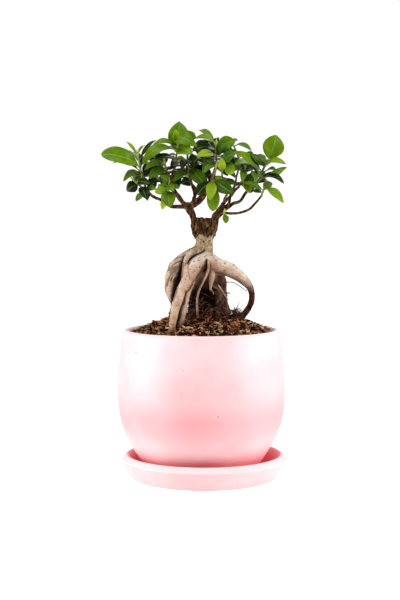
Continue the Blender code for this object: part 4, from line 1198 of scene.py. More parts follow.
# Width, strength and course (x, z as seen) of the creases between and on the roots
CREASES = [
    (0.9, 1.0, [(3.2, 205.6), (0, 203.7), (-3, 201.9), (-6, 199.9), (-8.6, 197.9), (-10.3, 195.8),
                (-11.6, 193.2)]),
    (0.6, 0.5, [(-11.6, 193.2), (-12.4, 190.6)]),
    (0.45, 0.55, [(-12.1, 190.6), (-11.7, 187), (-11.3, 184), (-10.7, 181.2), (-10.2, 179)]),
    (0.35, 0.4, [(-8, 185.3), (-6.2, 186.2), (-5, 187.6), (-4.6, 188.8)]),
    (0.9, 1.0, [(-13.5, 168), (-14.7, 163), (-15.4, 159), (-17.2, 155), (-19, 150), (-20, 145),
                (-21.5, 140), (-22.3, 135)]),
    (1.0, 1.0, [(4.6, 197), (4.9, 193), (4.2, 189), (2, 186.5)]),
    (0.7, 0.9, [(-16.5, 195), (-17, 190), (-17.2, 185), (-18.3, 181.5), (-20, 177.5), (-21, 174),
                (-22.3, 169), (-24.2, 164.5), (-25.6, 160)]),
    (0.45, 0.4, [(-0.3, 209.6), (1.5, 207.9), (3.2, 206.4)]),
    (0.45, 0.35, [(-1.6, 216.4), (2.4, 212.6), (8.6, 211.8)]),
    (0.5, 0.4, [(7.6, 205.6), (10, 203.4), (9.8, 201.4)]),
]
# x and z as seen, and radius
PITS = [
    (1.8, 213.4, 0.9), (7.5, 214.2, 0.7), (-14.2, 193.7, 0.5), (-1.3, 190.3, 0.7), (-14.3, 179.3, 0.5),
    (4.6, 196.9, 0.6),
]


def line_distance(place, line):
    """Each place's distance from a broken line, both in the plane of the picture."""
    line = np.array(line, float)
    nearest = np.full(len(place), np.inf)
    for start, end in zip(line, line[1:]):
        way = end - start
        share = np.clip((place - start) @ way / (way @ way), 0, 1)
        nearest = np.minimum(nearest, np.linalg.norm(place - (start + share[:, None] * way), axis=1))
    return nearest


def creases(p, normals):
    """How deep in a crease or a pit each point lies: strength exp(-(distance / width)^2)."""
    place = front_place(p)
    in_front = (p[:, 1] < 6) * step_between(0.25, -0.15, normals[:, 1])
    depth = np.zeros(len(p))
    for width, strength, line in CREASES:
        depth = np.maximum(depth, strength * np.exp(-(line_distance(place, line) / width) ** 2))
    for x, z, radius in PITS:
        away = np.hypot(place[:, 0] - x, place[:, 1] - z)
        depth = np.maximum(depth, np.exp(-(away / radius) ** 4))
    return depth * in_front


print("creases and pits:", len(CREASES), "and", len(PITS))

# %% [markdown]
# ### Wrinkled skin and flaky bark
#
# Dried root skin shrinks into wrinkles across the root, with small warts; on the left bulb they
# are deeper and run in arches. Above the ragged bark line are upright flakes. A height map would
# be lost at the outline, where this shows best, so the skin itself is moved along its normals.

# %% Relief
BARK_LINE = 219.3
# Noise is squeezed in the directions in which a mark is to be long
ACROSS = np.array([0.3, 0.3, 1.0])
UPRIGHT = np.array([1.0, 1.0, 0.22])
PLATES = np.array([1.0, 1.0, 0.5])
ACROSS_HEIGHT = 0.08
WART_HEIGHT = 0.45
SLOW_HEIGHT = 0.4
WRINKLE_HEIGHT = 0.55
NECK_HEIGHT = 0.3
FLAKE_HEIGHT = 1.2
# The wrinkles of the left bulb run round this place (x, z as seen)
BULB_CENTRE = (-12, 173)


def bark_share(p):
    """1 on the stump and above it, 0 on the bare roots, with a ragged line between them."""
    ragged = 2.2 * lattice_noise(p, 3.0, 31) + 1.2 * lattice_noise(p, 1.2, 32)
    return step_between(-0.8, 0.8, p[:, 2] + ragged - BARK_LINE)


def bulb_wrinkles(p):
    """Arched wrinkles on the left bulb: noise that is long round a place and short outwards."""
    place = front_place(p) - BULB_CENTRE
    away = np.hypot(*place.T)
    turn = np.arctan2(place[:, 1], place[:, 0])
    arched = lattice_noise(np.stack([away, 3.2 * turn, 0.2 * p[:, 1]], -1), 1.25, 38)
    return arched * step_between(-13, -17, p[:, 0]) * (p[:, 1] > -5) * step_between(204, 198, p[:, 2])


def root_relief(p, bark):
    """How far the skin stands out, in millimetres, at points in millimetres."""
    warts = np.maximum(0, lattice_noise(p, 1.5, 34) - 0.45)
    skin = ACROSS_HEIGHT * lattice_noise(p * ACROSS, 1.5, 33) + WART_HEIGHT * warts
    skin += SLOW_HEIGHT * lattice_noise(p, 8.0, 35) + WRINKLE_HEIGHT * bulb_wrinkles(p)
    skin += NECK_HEIGHT * step_between(200, 207, p[:, 2]) * lattice_noise(p, 1.3, 39)
    plates = np.maximum(lattice_noise(p * PLATES, 3.4, 37), -0.3)
    flakes = FLAKE_HEIGHT * lattice_noise(p * UPRIGHT, 1.5, 36) + plates
    return skin * (1 - bark) + flakes * bark


STOCK_BARK = bark_share(STOCK_POINTS / MM)
print("share of the stock that has bark:", round(float(STOCK_BARK.mean()), 2))

# %% [markdown]
# ### Where the skin is darker, and where light and shade are painted
#
# The far leg and the feet are darker towards the soil. The back, the lee side and the skin
# behind the arch and under the knee are painted darker as shade, the hollow between the legs is
# painted nearly black as shade, and the tops that face the light are painted pale as light. Such
# masks could be painted as images. A product of smooth borders in x, y and height is exact, and a
# noise on the height makes the borders ragged.

# %% Dark patches and painted shade
# A border: what is measured, where the mask starts, and where it is full. In the first table each
# mask has its strength before its borders. The far leg, the feet and the left foot are darker
# towards the soil; behind the arch, the back, under the knee and the lee side are painted shade.
DARK_PATCHES_AND_PAINTED_SHADE = {
    "far leg": (1.0, [("x", 29, 40), ("z", 186, 166)]),
    "feet": (0.6, [("above soil", 14, 2)]),
    "left foot": (0.8, [("x", -21, -25), ("z", 163, 150), ("y", -10.01, -10)]),
    "behind the arch": (1.0, [
        ("y", -11, -6), ("y", 32, 12), ("x", 9, 16), ("x", 30, 27), ("ragged z", 196, 178),
    ]),
    "back": (0.55, [("y", 4, 24), ("ragged z", 196, 160)]),
    "under the knee": (0.75, [("y", -9, -4), ("x", 14, 11), ("x", -15, -12), ("z", 193, 187)]),
    "lee side": (0.9, [("lee", 0.15, 0.85), ("z", 206, 198)]),
}
# The hollow between the legs, painted nearly black as shade
HOLLOW = [("y", -11, -7), ("y", 26, 12), ("x", 18, 12), ("x", -15, -12), ("ragged z", 182, 168)]
WARM_SIDES = [[("x", -15, -19), ("y", -6.01, -6)], [("x", 10, 26)]]
# Tops that face up, the knee most, are painted pale as light
TOPSIDE = [("z", 207, 202), ("up", 0.0, 0.75)]
KNEE = [("x", -13, -10), ("z", 178, 192)]
NECK = [("z", 199, 207)]
# The side that turns away from the light, painted darker as shade
LEE = (0.5, 0, -0.866)
# Where the painted shade on the left bulb begins: height and x, as seen
BULB_SHADE = [(150, -28), (165, -27), (175, -25), (185, -21.3), (195, -18), (200, -16.5)]


def within(borders, measures):
    """1 inside all of the borders, 0 outside any of them: the product of their smooth steps."""
    return np.prod([step_between(start, full, measures[name]) for name, start, full in borders], axis=0)


def bulb_shade(p):
    """Painted shade: 1 where the front leg shades the left bulb, 0 on its lit side."""
    place = front_place(p)
    height, border = np.array(BULB_SHADE).T
    past = step_between(-2.6, 1.0, place[:, 0] - np.interp(place[:, 1], height, border))
    return past * (p[:, 1] > -6) * step_between(-11, -13, p[:, 0]) * step_between(204, 199, p[:, 2])


def root_tints(p, normals):
    """Masks: patches and painted shade, painted hollow shade, reddish skin, painted top light, yellowish
    neck.
    """
    x, y, z = p.T
    measures = {
        "x": x, "y": y, "z": z,
        "ragged z": z + 4 * lattice_noise(p, 6.0, 42) + 2 * lattice_noise(p, 2.2, 43),
        "above soil": z - soil_height(x, y),
        "lee": normals @ LEE,
        "up": normals[:, 2],
    }
    # Darker patches and painted shade, as one mask
    dark_patches_and_shade = [strength * within(borders, measures) for strength, borders in DARK_PATCHES_AND_PAINTED_SHADE.values()]
    return {
        "dusk": np.maximum.reduce(dark_patches_and_shade),
        "hollow": np.maximum(within(HOLLOW, measures), bulb_shade(p)),
        "warm": np.maximum(*[within(borders, measures) for borders in WARM_SIDES]),
        # Painted light: tops that face up are paler, the knee most
        "painted_light": within(TOPSIDE, measures) * np.maximum(0.3, within(KNEE, measures)),
        "neck": within(NECK, measures),
    }


print("stains:", ", ".join(DARK_PATCHES_AND_PAINTED_SHADE))

# %% [markdown]
# ### Root skin
#
# The thin skin is putty, painted paler where the light falls on its tops, pinkish tan lower
# down and olive on the neck. A picture of wood would show grain, which root skin lacks; it has
# clouds of colour, and short corky marks that lie across it in patches, which flattened Voronoi
# cells give.

# %% Skin and cork marks
# Size in millimetres of the cells that hold a cork mark each, and a mark's reach as a share of it
CORK_MARKS = [(3.2, 0.19), (1.9, 0.15)]
CORK_SQUEEZE = (0.42, 0.42, 1.3)
PUTTY = [(0.3, "997357"), (0.45, "B99277"), (0.6, "C9A68C"), (0.75, "D8BCA5")]
REDDISH = [(0.3, "9E7B64"), (0.45, "C4A68E"), (0.6, "D5BCA8"), (0.75, "E1CFC0")]
OLIVE = [(0.34, "745C40"), (0.46, "9A8463"), (0.56, "AF9A7A"), (0.7, "C7B698")]
# Pale putty that paints light on the tops
PAINTED_LIGHT_PUTTY = [(0.3, "C8AE98"), (0.5, "E2D1C1"), (0.7, "EDE1D5")]


def root_skin(tree, place):
    """Putty, painted paler as light on the tops, reddish on the bulb and the arch, olive on the neck."""
    cloud = add(tree, "TexNoise", Vector=place, Scale=per_mm(8), Detail=5.0, Roughness=0.6)
    mottle = add(tree, "TexNoise", Vector=place, Scale=per_mm(1.9), Detail=3.0, Roughness=0.6)
    putty, reddish, lit_putty = (
        add(tree, "ValToRGB", stops=stops, _0=cloud)
        for stops in (PUTTY, REDDISH, PAINTED_LIGHT_PUTTY)
    )
    olive = add(tree, "ValToRGB", stops=OLIVE, _0=mottle)
    # The last coat paints light on the tops
    return coated(tree, putty, [("warm", reddish), ("neck", olive), ("painted_light", lit_putty)])


def cork_marks(tree, place):
    """Lenticels: short dark marks that lie across the root, in patches; a mask from 0 to 1."""
    patchy = add(tree, "TexNoise", Vector=place, Scale=per_mm(7), Detail=2.0)
    some = add(tree, "MapRange", Value=patchy, _1=0.38, _2=0.54, _3=0.5, _4=1.0)
    flat = add(tree, "Mapping", Vector=place, Scale=CORK_SQUEEZE)
    marks = []
    for cell, reach in CORK_MARKS:
        away = add(tree, "TexVoronoi", Vector=flat, Scale=per_mm(cell), Randomness=1.0)
        marks.append(add(tree, "MapRange", Value=away, _1=0.6 * reach, _2=reach, _3=0.9, _4=0.0))
    both = add(tree, "Math", {"operation": "MAXIMUM"}, _0=marks[0], _1=marks[1])
    return add(tree, "Math", {"operation": "MULTIPLY"}, _0=both, _1=some)


print("sizes of cork marks:", len(CORK_MARKS))

# %% [markdown]
# ### Root skin and bark as one finish
#
# On the plant skin tears up into bark. Two materials would meet in a hard line, so one finish
# holds both and changes by the ragged share that the mesh carries. Root skin is dull, bark has no
# shine.

# %% Wood finish
SKIN_SHEEN = 0.08
# Brown for dark patches and painted shade, near black for painted shade in the hollow
PATCH_AND_SHADE_BROWN = [(0.3, "1C0903"), (0.5, "3E1D0F"), (0.62, "5A3320"), (0.75, "7A5238")]
PAINTED_SHADE_BLACK = [(0.35, "060201"), (0.52, "140603"), (0.66, "2C120A"), (0.78, "4A281A")]
RIND = [(0.36, "0D0603"), (0.43, "2C190C"), (0.52, "54391F"), (0.62, "7C5C3C"), (0.73, "A58A66")]


def patched_and_shaded_skin(tree, place, wrinkles):
    """Root skin with cork marks, dark patches, and painted shade in its wrinkles, hollow and creases."""
    marks = cork_marks(tree, place)
    skin = add(tree, "MixRGB", _0=marks, _1=root_skin(tree, place), _2=linear("4C2C1A"))
    # Dark lines in the troughs of the wrinkles: painted shade
    lines = add(tree, "MapRange", Value=wrinkles, _1=0.42, _2=0.32, _3=0.0, _4=0.35)
    skin = add(tree, "MixRGB", _0=lines, _1=skin, _2=linear("6A4A38"))
    blotches = add(tree, "TexNoise", Vector=place, Scale=per_mm(4), Detail=4.0)
    brown = add(tree, "ValToRGB", stops=PATCH_AND_SHADE_BROWN, _0=blotches)
    black = add(tree, "ValToRGB", stops=PAINTED_SHADE_BLACK, _0=blotches)
    # Coats of dark patches and painted shade, painted shade in the hollow, in creases and pits
    return coated(tree, skin, [("dusk", brown), ("hollow", black), ("groove", linear("2E1B11"))])


def ficus_wood():
    """Dull root skin that tears up into cracked, shineless bark."""
    finish, tree, shader = new_finish("ficus_root_skin_and_bark")
    place = add(tree, "TexCoord", out="Object")
    bark = add(tree, "Attribute", {"attribute_name": "bark"}, out="Fac")
    flat = add(tree, "Mapping", Vector=place, Scale=(0.4, 0.4, 1.0))
    wrinkles = add(tree, "TexNoise", Vector=flat, Scale=per_mm(1.3), Detail=3.0)
    upright = add(tree, "Mapping", Vector=place, Scale=(1.0, 1.0, 0.3))
    cracks = add(tree, "TexNoise", Vector=upright, Scale=per_mm(1.8), Detail=5.0, Roughness=0.65)
    rind = add(tree, "ValToRGB", stops=RIND, _0=cracks)
    whole = coated(tree, patched_and_shaded_skin(tree, place, wrinkles), [("bark", rind)])
    rough = add(tree, "MapRange", Value=bark, _3=0.6, _4=0.95)
    height = add(tree, "Mix", {"data_type": "FLOAT"}, _0=bark, _2=wrinkles, _3=cracks)
    relief = add(tree, "Bump", Strength=0.8, Distance=0.4 * MM, Height=height)
    # Ambient occlusion paints shade into the forks and folds of the wood
    plug(shader, Base_Color=occlusion_shaded(tree, whole, 9, "1A0A04", 0.85), Normal=relief)
    plug(shader, Roughness=rough, Specular_IOR_Level=SKIN_SHEEN)
    return finish


WOOD = ficus_wood()
print("finish:", WOOD.name)

# %% [markdown]
# ### The root stock
#
# Now the skin gets its relief and its masks. The troughs of the wrinkles are painted dark as
# shade too, so they count as creases.

# %% Root stock
def vertex_normals(mesh):
    """The way that each point of a mesh looks."""
    normals = np.empty(len(mesh.vertices) * 3, np.float32)
    mesh.vertex_normals.foreach_get("vector", normals)
    return normals.reshape(-1, 3)


def finish_stock():
    """point + normal (relief - depth groove), and the masks for the finish."""
    p = STOCK_POINTS / MM
    normals = vertex_normals(STOCK_SKIN)
    # The bulb's wrinkle troughs sink with the creases, and like creases and pits are painted dark as shade
    painted_shade = 0.6 * step_between(0.08, 0.5, -bulb_wrinkles(p))
    groove = np.maximum(creases(p, normals), painted_shade)
    relief = root_relief(p, STOCK_BARK) - CREASE_DEPTH * groove
    move_points(STOCK_SKIN, STOCK_POINTS + normals * (relief * MM)[:, None])
    keep_values(STOCK_SKIN, {"bark": STOCK_BARK, "groove": groove, **root_tints(p, normals)})


finish_stock()
STOCK = placed("root_stock", STOCK_SKIN, WOOD)
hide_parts("trunk")

# %% [markdown]
# ### Flakes of bark
#
# The stump's bark has split in flakes that stand off its sides. Relief can't stand off, so they
# are splinters, set in the side of the stump.

# %% Flakes on the stump
FLAKES = 90


def bark_flakes():
    """Upright splinters set in the stump's side, turned with their flat face outwards."""
    rng = np.random.default_rng(SEED + 31)
    height = rng.uniform(218.5, 232.5, FLAKES)
    x, z, y, radius = np.array(STUMP, float).T
    around = rng.uniform(0, 2 * np.pi, FLAKES)
    out = np.stack([np.cos(around), np.sin(around), 0 * around], -1)
    axis = np.stack([np.interp(height, z, x), np.interp(height, z, y), height], -1)
    centre = axis + out * (np.interp(height, z, radius) + rng.uniform(-0.4, 0.5, FLAKES))[:, None]
    length = rng.uniform(2.5, 7, FLAKES)
    breadth = rng.uniform(1.0, 2.6, FLAKES)
    size = np.stack([length, breadth, rng.uniform(0.5, 1.1, FLAKES)], -1)
    turn = turning(around, np.pi / 2 + rng.normal(0, 0.16, FLAKES), rng.normal(0, 0.3, FLAKES))
    shell = splinter_shell(centre, size, turn, np.zeros(FLAKES), rng)
    return shell._replace(values={"bark": np.ones(len(shell.points))})


FLAKE_PIECE = make_piece("stump_flakes", bark_flakes(), WOOD)

# %% [markdown]
# ### Branches
#
# The grafted branches are slender, slightly ringed where leaves once stood, and start inside their
# parents. Straight tubes would look like wire, so they wander a little between their ends.

# %% Branches
RING_GAP = 4.5


def branch_shell(rows, seed):
    """A tube of radius r(s) (1 + rings + noise), along a curve that wanders but keeps its ends."""
    line = smooth_path(route(rows), 7)
    place = line[:, :3]
    length = line_lengths(line) / MM
    rings = np.exp(-((length % RING_GAP - RING_GAP / 2) / 0.5) ** 2)
    radius = line[:, 3] * (1 + 0.08 * rings + 0.1 * lattice_noise(place, 6 * MM, seed))
    wander = np.stack([lattice_noise(place, 7 * MM, seed + i) for i in (1, 2, 3)], -1)
    ends = np.minimum(1, np.minimum(length, length[-1] - length) / 4)[:, None]
    return tube_shell(place + 0.6 * MM * wander * ends, radius, 12, {"bark": 1.0, "dusk": 0.0})


branch_shells = [
    branch_shell(rows, 70 + 4 * i) for i, (name, rows) in enumerate(BRANCHES.items()) if name not in SCIONS
]
BRANCH_WOOD = make_piece("branches", gathered(branch_shells), WOOD)

# %% [markdown]
# ### Slender roots
#
# Thin roots and rootlets hang from the arch, each along its own points. A tangle of fine dark
# hairs fills the hollow. Hair curves would be quick, but the part has to be solid meshes, so each
# hair is a thin tube that wanders off by a seeded rule.

# %% Rootlets in the arch
# How dark each slender root is
SLENDER_DUSK = {"pointed_root": 0.1, "curled_root": 0.7, "thin_root": 0.0}
# How dark each rootlet is, and its points
ROOTLETS = {
    "arc": (0.45, [(20.5, 176.3, 4, 0.5), (23, 176.9, 3, 0.5), (29, 176.5, 1, 0.45), (35, 173, -2, 0.45),
                   (39, 170, -4, 0.4), (41.5, 168.7, -5, 0.35)]),
    "slanted": (0.0, [(15, 175, -9, 0.5), (17, 172, -10, 0.5), (19, 169, -11, 0.48), (21, 165.5, -12, 0.45),
                      (23, 162.5, -12, 0.42), (24.5, 160.5, -12, 0.35)]),
    "tip": (0.1, [(8, 171.5, -15, 0.9), (9, 170, -14.5, 0.5), (10.5, 168, -14, 0.35),
                  (11, 165.5, -13, 0.25)]),
    "twig": (0.8, [(19.5, 167.6, -4, 0.6), (23, 167.2, -4, 0.6), (26.5, 167, -4, 0.5)]),
}


def slender_roots():
    """The named slender roots, and the rootlets that the picture shows in the arch."""
    roots = [
        wood_tube(ROOTS[name], 10, 6, 0.12, 90, {"bark": 0.0, "dusk": dusk})
        for name, dusk in SLENDER_DUSK.items()
    ]
    rootlets = [
        wood_tube(rows, 7, 6, 0.1, 95, {"bark": 0.0, "dusk": dusk}) for dusk, rows in ROOTLETS.values()
    ]
    return roots + rootlets


HAIR_STEPS = 9
# How many, between which x, y and heights above the soil, how much they rise, and how thick they
# are, in millimetres
TANGLES = [
    (120, (-10, 24), (-20, 8), (0, 34), -0.6, 0.26),
    (130, (-17, -9), (-8, 6), (0, 26), 0.3, 0.3),
    (130, (22, 36), (-10, 8), (-1, 9), 0.8, 0.45),
]


def hair_shell(start, aim, length, thickness, rng, dusk):
    """A thin curve: start + length (s aim + 0.45 s wander(s)), kept on the soil."""
    s = np.linspace(0, 1, HAIR_STEPS)[:, None]
    wander = np.cumsum(rng.normal(0, 0.10, (HAIR_STEPS, 3)), axis=0)
    line = start + length * (s * aim + 0.45 * s * wander)
    line[:, 2] = np.maximum(line[:, 2], soil_height(line[:, 0], line[:, 1]) - 0.5)
    radius = thickness * (1 - 0.7 * s[:, 0])
    return tube_shell(line * MM, radius * MM, 5, {"bark": 0.0, "dusk": dusk})


def root_hairs():
    """All the hairs of the tangles, each with its own start, way, length and tone."""
    rng = np.random.default_rng(SEED + 41)
    shells = []
    for count, (left, right), (near, far), (low, high), rise, thickness in TANGLES:
        for _ in range(count):
            x, y = rng.uniform(left, right), rng.uniform(near, far)
            z = soil_height(x, y) + low + (high - low) * rng.uniform(0, 1) * rng.uniform(0, 1)
            aim = rng.normal(0, 1, 3) * [1, 1, 0.7] + [0, 0, rise]
            aim /= np.linalg.norm(aim)
            wide = thickness * rng.uniform(0.6, 1.3)
            start, length = np.array([x, y, z]), rng.uniform(5, 12)
            shells.append(hair_shell(start, aim, length, wide, rng, rng.uniform(0.6, 1)))
    return shells


FINE_ROOTS = make_piece("fine_roots", gathered(slender_roots() + root_hairs()), WOOD)

# %% [markdown]
# ## The leaves
#
# Each shoot carries its own leaves. Strewn by a rule they would give the crown another outline, so
# each leaf has its own numbers. One green would look like plastic, so a tone from dark to
# yellow-green is one of them: partly the leaf's age, and partly painted light and shade, dark for
# a leaf in shade and light for a lit one.

# %% Where the leaves are
# A leaf: where it leaves its twig (share of the twig's length), where its tip is (x, z, y), its
# width, which way its upper side looks (degrees from straight up towards the viewer), how far it
# bows, in millimetres, and its egg: above 1 it is broad and blunt at the tip, below 1 at the stalk.
Leaf = namedtuple("Leaf", "at x z y width face bow egg", defaults=(1.08,))
# A shoot: the branch that it carries on, the points of its twig, and its leaves. A shoot of the
# hidden back of the crown has a number of leaves, which follow the golden angle.
Shoot = namedtuple("Shoot", "branch twig leaves")
SHOOTS = {
    "shoot_left": Shoot("far_left", [
        (-51.2, 266, -14, 1), (-53.8, 275, -16, 1), (-55.4, 283, -18, 0.9), (-57, 291, -19, 0.8),
    ], [
        (0.58, -88.3, 292.4, -44, 17, 60, 8, 1.55), (0.52, -79, 284.8, -14, 9, 25, 4),
        (0.98, -66.8, 303, -22, 3.4, 50, 1), (1.0, -50.5, 299.8, -26, 4.5, 20, 2),
        (0.84, -41.4, 304.8, -12, 6, 20, 1), (0.42, -69.6, 268.3, -32, 9, 38, 6),
        (0.16, -34, 267, 6, 14, 40, 3), (0.70, -63, 294, 12, 10, -25, 3),
        (0.30, -64, 275, 10, 11, -10, 3), (0.62, -50.6, 290, -6, 9, 60, 3),
        (0.28, -45.8, 283, 2, 11, 60, 3),
    ]),
    "shoot_low_left": Shoot("low_left", [
        (-50.4, 259.4, -20, 1), (-56, 264.4, -22, 0.9), (-61, 269, -23, 0.8),
    ], [
        (0.66, -67, 259.2, -26, 11, 75, 3), (0.56, -49.6, 252.4, -34, 9, 62, 3),
        (0.28, -58.8, 250, -16, 5.5, -70, 1), (0.20, -41.2, 261, -36, 7, 60, 2),
        (0.82, -46.5, 266, -36, 8, 62, 2), (0.06, -40.6, 267.5, -26, 9, 60, 3),
        (1.0, -55.5, 274.5, -34, 8, 60, 3), (0.05, -48.6, 250.8, -36, 5, 75, 1),
    ]),
    "shoot_hanging_left": Shoot("hanging_left", [(-29.4, 259, -26, 0.9), (-29, 266, -29, 0.8)], [
        (0.50, -28.3, 245.2, -42, 13, 82, 3, 1.3), (0.40, -41.6, 258, -34, 9, 70, 2),
        (0.30, -38.6, 264.6, -38, 7, 60, 1), (0.92, -25.4, 259.4, -42, 8, 80, 1, 1.2),
        (0.75, -19.4, 262.4, -32, 5, 60, 1), (0.03, -35.4, 242.4, -25, 6, 78, 1),
        (1.0, -36.6, 272.6, -34, 7, 66, 2),
    ]),
    "shoot_upper_left": Shoot("up_left_fork", [
        (-22.6, 288, -12, 0.9), (-21.6, 294, -13, 0.9), (-20.8, 299.4, -14, 0.8),
    ], [
        (0.44, -19.8, 321.2, -6, 19, 80, 2, 0.85), (0.86, -4.6, 299.4, -30, 15, 56, 11),
        (0.72, -52.6, 284.4, -28, 11, 50, 9, 1.25), (0.84, -43.4, 300.6, -6, 8, 38, 5),
        (0.90, -8.8, 292.8, -40, 12.5, 80, 3, 1.1), (0.62, -36, 297, 14, 12, -15, 3),
        (0.95, -23.2, 313.4, -22, 7, 72, 2), (0.24, -41, 288.6, -34, 8, 45, 3),
        (0.10, -36, 284, 12, 14, 15, 3),
    ]),
    "shoot_mid_left": Shoot("up_left", [(-31.4, 278, -7, 0.9), (-32.6, 283.6, -8, 0.8)], [
        (0.48, -46.6, 270.6, -22, 10.5, 62, 4), (0.95, -51, 278, -16, 7, 52, 7),
        (0.15, -36, 265.6, -18, 8, 72, 1), (0.70, -52, 289, 6, 15, 45, 4),
        (0.60, -10, 279, 12, 15, 45, 3),
    ]),
    "shoot_centre": Shoot("up_centre", [
        (-10.2, 272, 4, 1.1), (-11.2, 280, 5, 1), (-12.5, 288, 3, 0.9), (-11.5, 296, 2, 0.9),
        (-9.4, 302, 3, 0.8),
    ], [
        (0.09, -18, 265.8, -12, 9.5, 80, 1, 1.0), (0.27, -24.8, 268, -12, 8, 52, 4),
        (0.60, -17.6, 279.6, -22, 8, 50, 2), (0.95, -13, 312.4, -8, 11, 50, 3),
        (0.42, 4.9, 262.4, -18, 13, 66, 3), (0.52, -4.6, 283, -12, 9, 35, 2),
        (0.58, -22.6, 287.2, -20, 5.5, 50, 1), (0.74, 12, 297, 16, 16, 50, 4),
        (0.85, -14, 305, 22, 15, 40, 4), (0.34, 10, 272, 12, 15, 50, 3),
    ]),
    "shoot_top": Shoot("to_right", [
        (13.6, 286, -15, 1.1), (13.2, 291, -15, 1), (13.2, 296, -14, 0.9), (13.4, 301, -13, 0.8),
    ], [
        (0.44, -3.4, 290.6, -38, 9.5, 55, 3), (0.46, 20.6, 300.4, -34, 10, 70, 1),
        (0.78, 30, 303.6, -22, 13, 74, 3, 1.2), (0.90, -5.6, 306.2, -18, 8, 40, 5),
        (1.0, -2.2, 313.6, 2, 7, 34, 4), (0.68, 29, 293, -6, 14, 50, 3),
        (0.12, 1.4, 284.4, -26, 9, 50, 2), (0.05, 1.4, 274.5, -26, 8, 32, 3),
        (0.80, 5, 303, 14, 14, 30, 3), (0.30, 32, 279, 4, 15, 50, 3),
    ]),
    "shoot_front_centre": Shoot("front_fork", [
        (10.4, 271, -29, 0.9), (12.4, 276.5, -32, 0.9), (13.4, 281, -34, 0.8),
    ], [
        (0.10, 7.8, 251.2, -42, 9.5, 80, 3), (0.0, 10.4, 240.8, -32, 11.5, 80, 2, 1.25),
        (0.04, -3.4, 255.4, -30, 9.5, 72, 2), (0.20, 27.7, 257, -38, 12.5, 80, 2),
        (0.96, 2.2, 275.8, -42, 6, 48, 3), (0.90, 1.4, 286.4, -40, 7, 50, 2),
    ]),
    "shoot_front_right": Shoot("right_scion", [
        (21, 252, -8, 1.2), (23, 256.4, -12, 1.1), (22, 263, -18, 1), (19, 270, -22, 0.9),
        (18.6, 277, -25, 0.9), (19.6, 283, -26, 0.8),
    ], [
        (0.66, 12, 266.6, -34, 7, 70, 2), (0.64, 30.6, 265.4, -34, 7, 60, 1),
        (0.84, 18.2, 287.8, -42, 7.2, 84, 1), (0.98, 29.4, 274.8, -38, 10.5, 76, 2),
        (0.90, 33, 279, -20, 8, 66, 2), (1.0, 30, 292.6, -32, 10, 60, 3),
    ]),
    "shoot_mid_right": Shoot("right_up", [(38, 270.4, -8, 0.9), (39.4, 280, -11, 0.8)], [
        (0.92, 36.8, 268, -26, 6.5, 75, 2), (0.10, 43.2, 257.5, -20, 8, 80, 1),
        (0.20, 47, 268.6, -18, 9, 62, 2), (1.0, 30.6, 284.2, -26, 9, 45, 3),
        (0.55, 50, 277, 12, 11, 20, 3),
    ]),
    "shoot_upper_right": Shoot("right_up_fork", [
        (31.6, 272, -4, 0.9), (33.4, 279, -3, 0.9), (33.6, 286, -3, 0.9), (31.8, 293, -3, 0.9),
        (28.6, 299.6, -4, 0.8),
    ], [
        (0.0, 24.8, 274.6, -18, 8.5, 66, 1), (1.0, 44.8, 295.3, -14, 6.5, 38, 4),
        (0.62, 45, 291, 12, 12, 0, 3), (0.86, 17, 292, 8, 15, 50, 3),
        (0.30, 50, 283, 8, 15, 50, 3),
    ]),
    "shoot_right": Shoot("right_long", [
        (49.6, 265.4, 2, 1), (53.4, 271.4, -1, 1), (55, 277.5, -4, 1), (57.5, 281.5, -5, 0.9),
        (60.2, 284.4, -6, 0.8),
    ], [
        (1.0, 66.8, 308.8, -6, 19.5, 84, 2, 1.0), (0.80, 74.8, 284, -28, 8, 52, 5),
        (0.44, 76.2, 281.2, -8, 9, -30, -3), (0.46, 66, 279, -26, 8, 45, 2),
        (0.30, 73.7, 267, -18, 8.5, 32, 5), (0.34, 70, 275.2, 12, 6, 20, 2),
        (0.60, 28, 294.6, -24, 11, 50, 5, 0.95), (0.50, 31.6, 285, -36, 9.5, 48, 4),
        (0.80, 44.4, 291.6, -16, 8, 60, 1), (0.92, 50, 288.6, 2, 9, 50, 2),
        (0.16, 45.6, 276.6, -20, 8, 70, 1), (0.66, 66, 286, 26, 14, -5, 4),
        (0.26, 40, 272, 22, 15, 50, 3), (0.14, 60, 268, 10, 9, 40, 3),
    ]),
    "shoot_low_right": Shoot("right_bow", [(55, 257.5, -18, 0.9), (57.4, 262.4, -19, 0.8)], [
        (0.98, 73.6, 248.8, -32, 8, 60, 5), (0.42, 62.2, 267.4, -34, 8, -70, 1),
        (0.60, 38.8, 266.8, -34, 7, 58, 2), (0.04, 46.6, 258.6, -20, 5.5, 60, 2),
    ]),
    "shoot_low": Shoot("low_right", [(20.6, 240, -16, 0.9)], [(0.50, 22.4, 229.8, -18, 6, 75, 1)]),
    "shoot_inner": Shoot("inner_fork", [(5, 283, 8, 1), (4, 290, 13, 0.9)], 10),
    "shoot_back_left": Shoot("back_left", [(-35, 271, 33, 1), (-38, 278, 36, 0.9)], 9),
    "shoot_back_centre": Shoot("back_centre", [(2, 281, 34, 1), (4.5, 287, 37, 0.9)], 9),
    "shoot_back_right": Shoot("back_right", [(37, 269, 34, 1), (41, 277, 37, 0.9)], 9),
    "shoot_far_back": Shoot("far_back", [(-12, 272, 44, 1), (-13, 279, 51, 0.9)], 7),
}

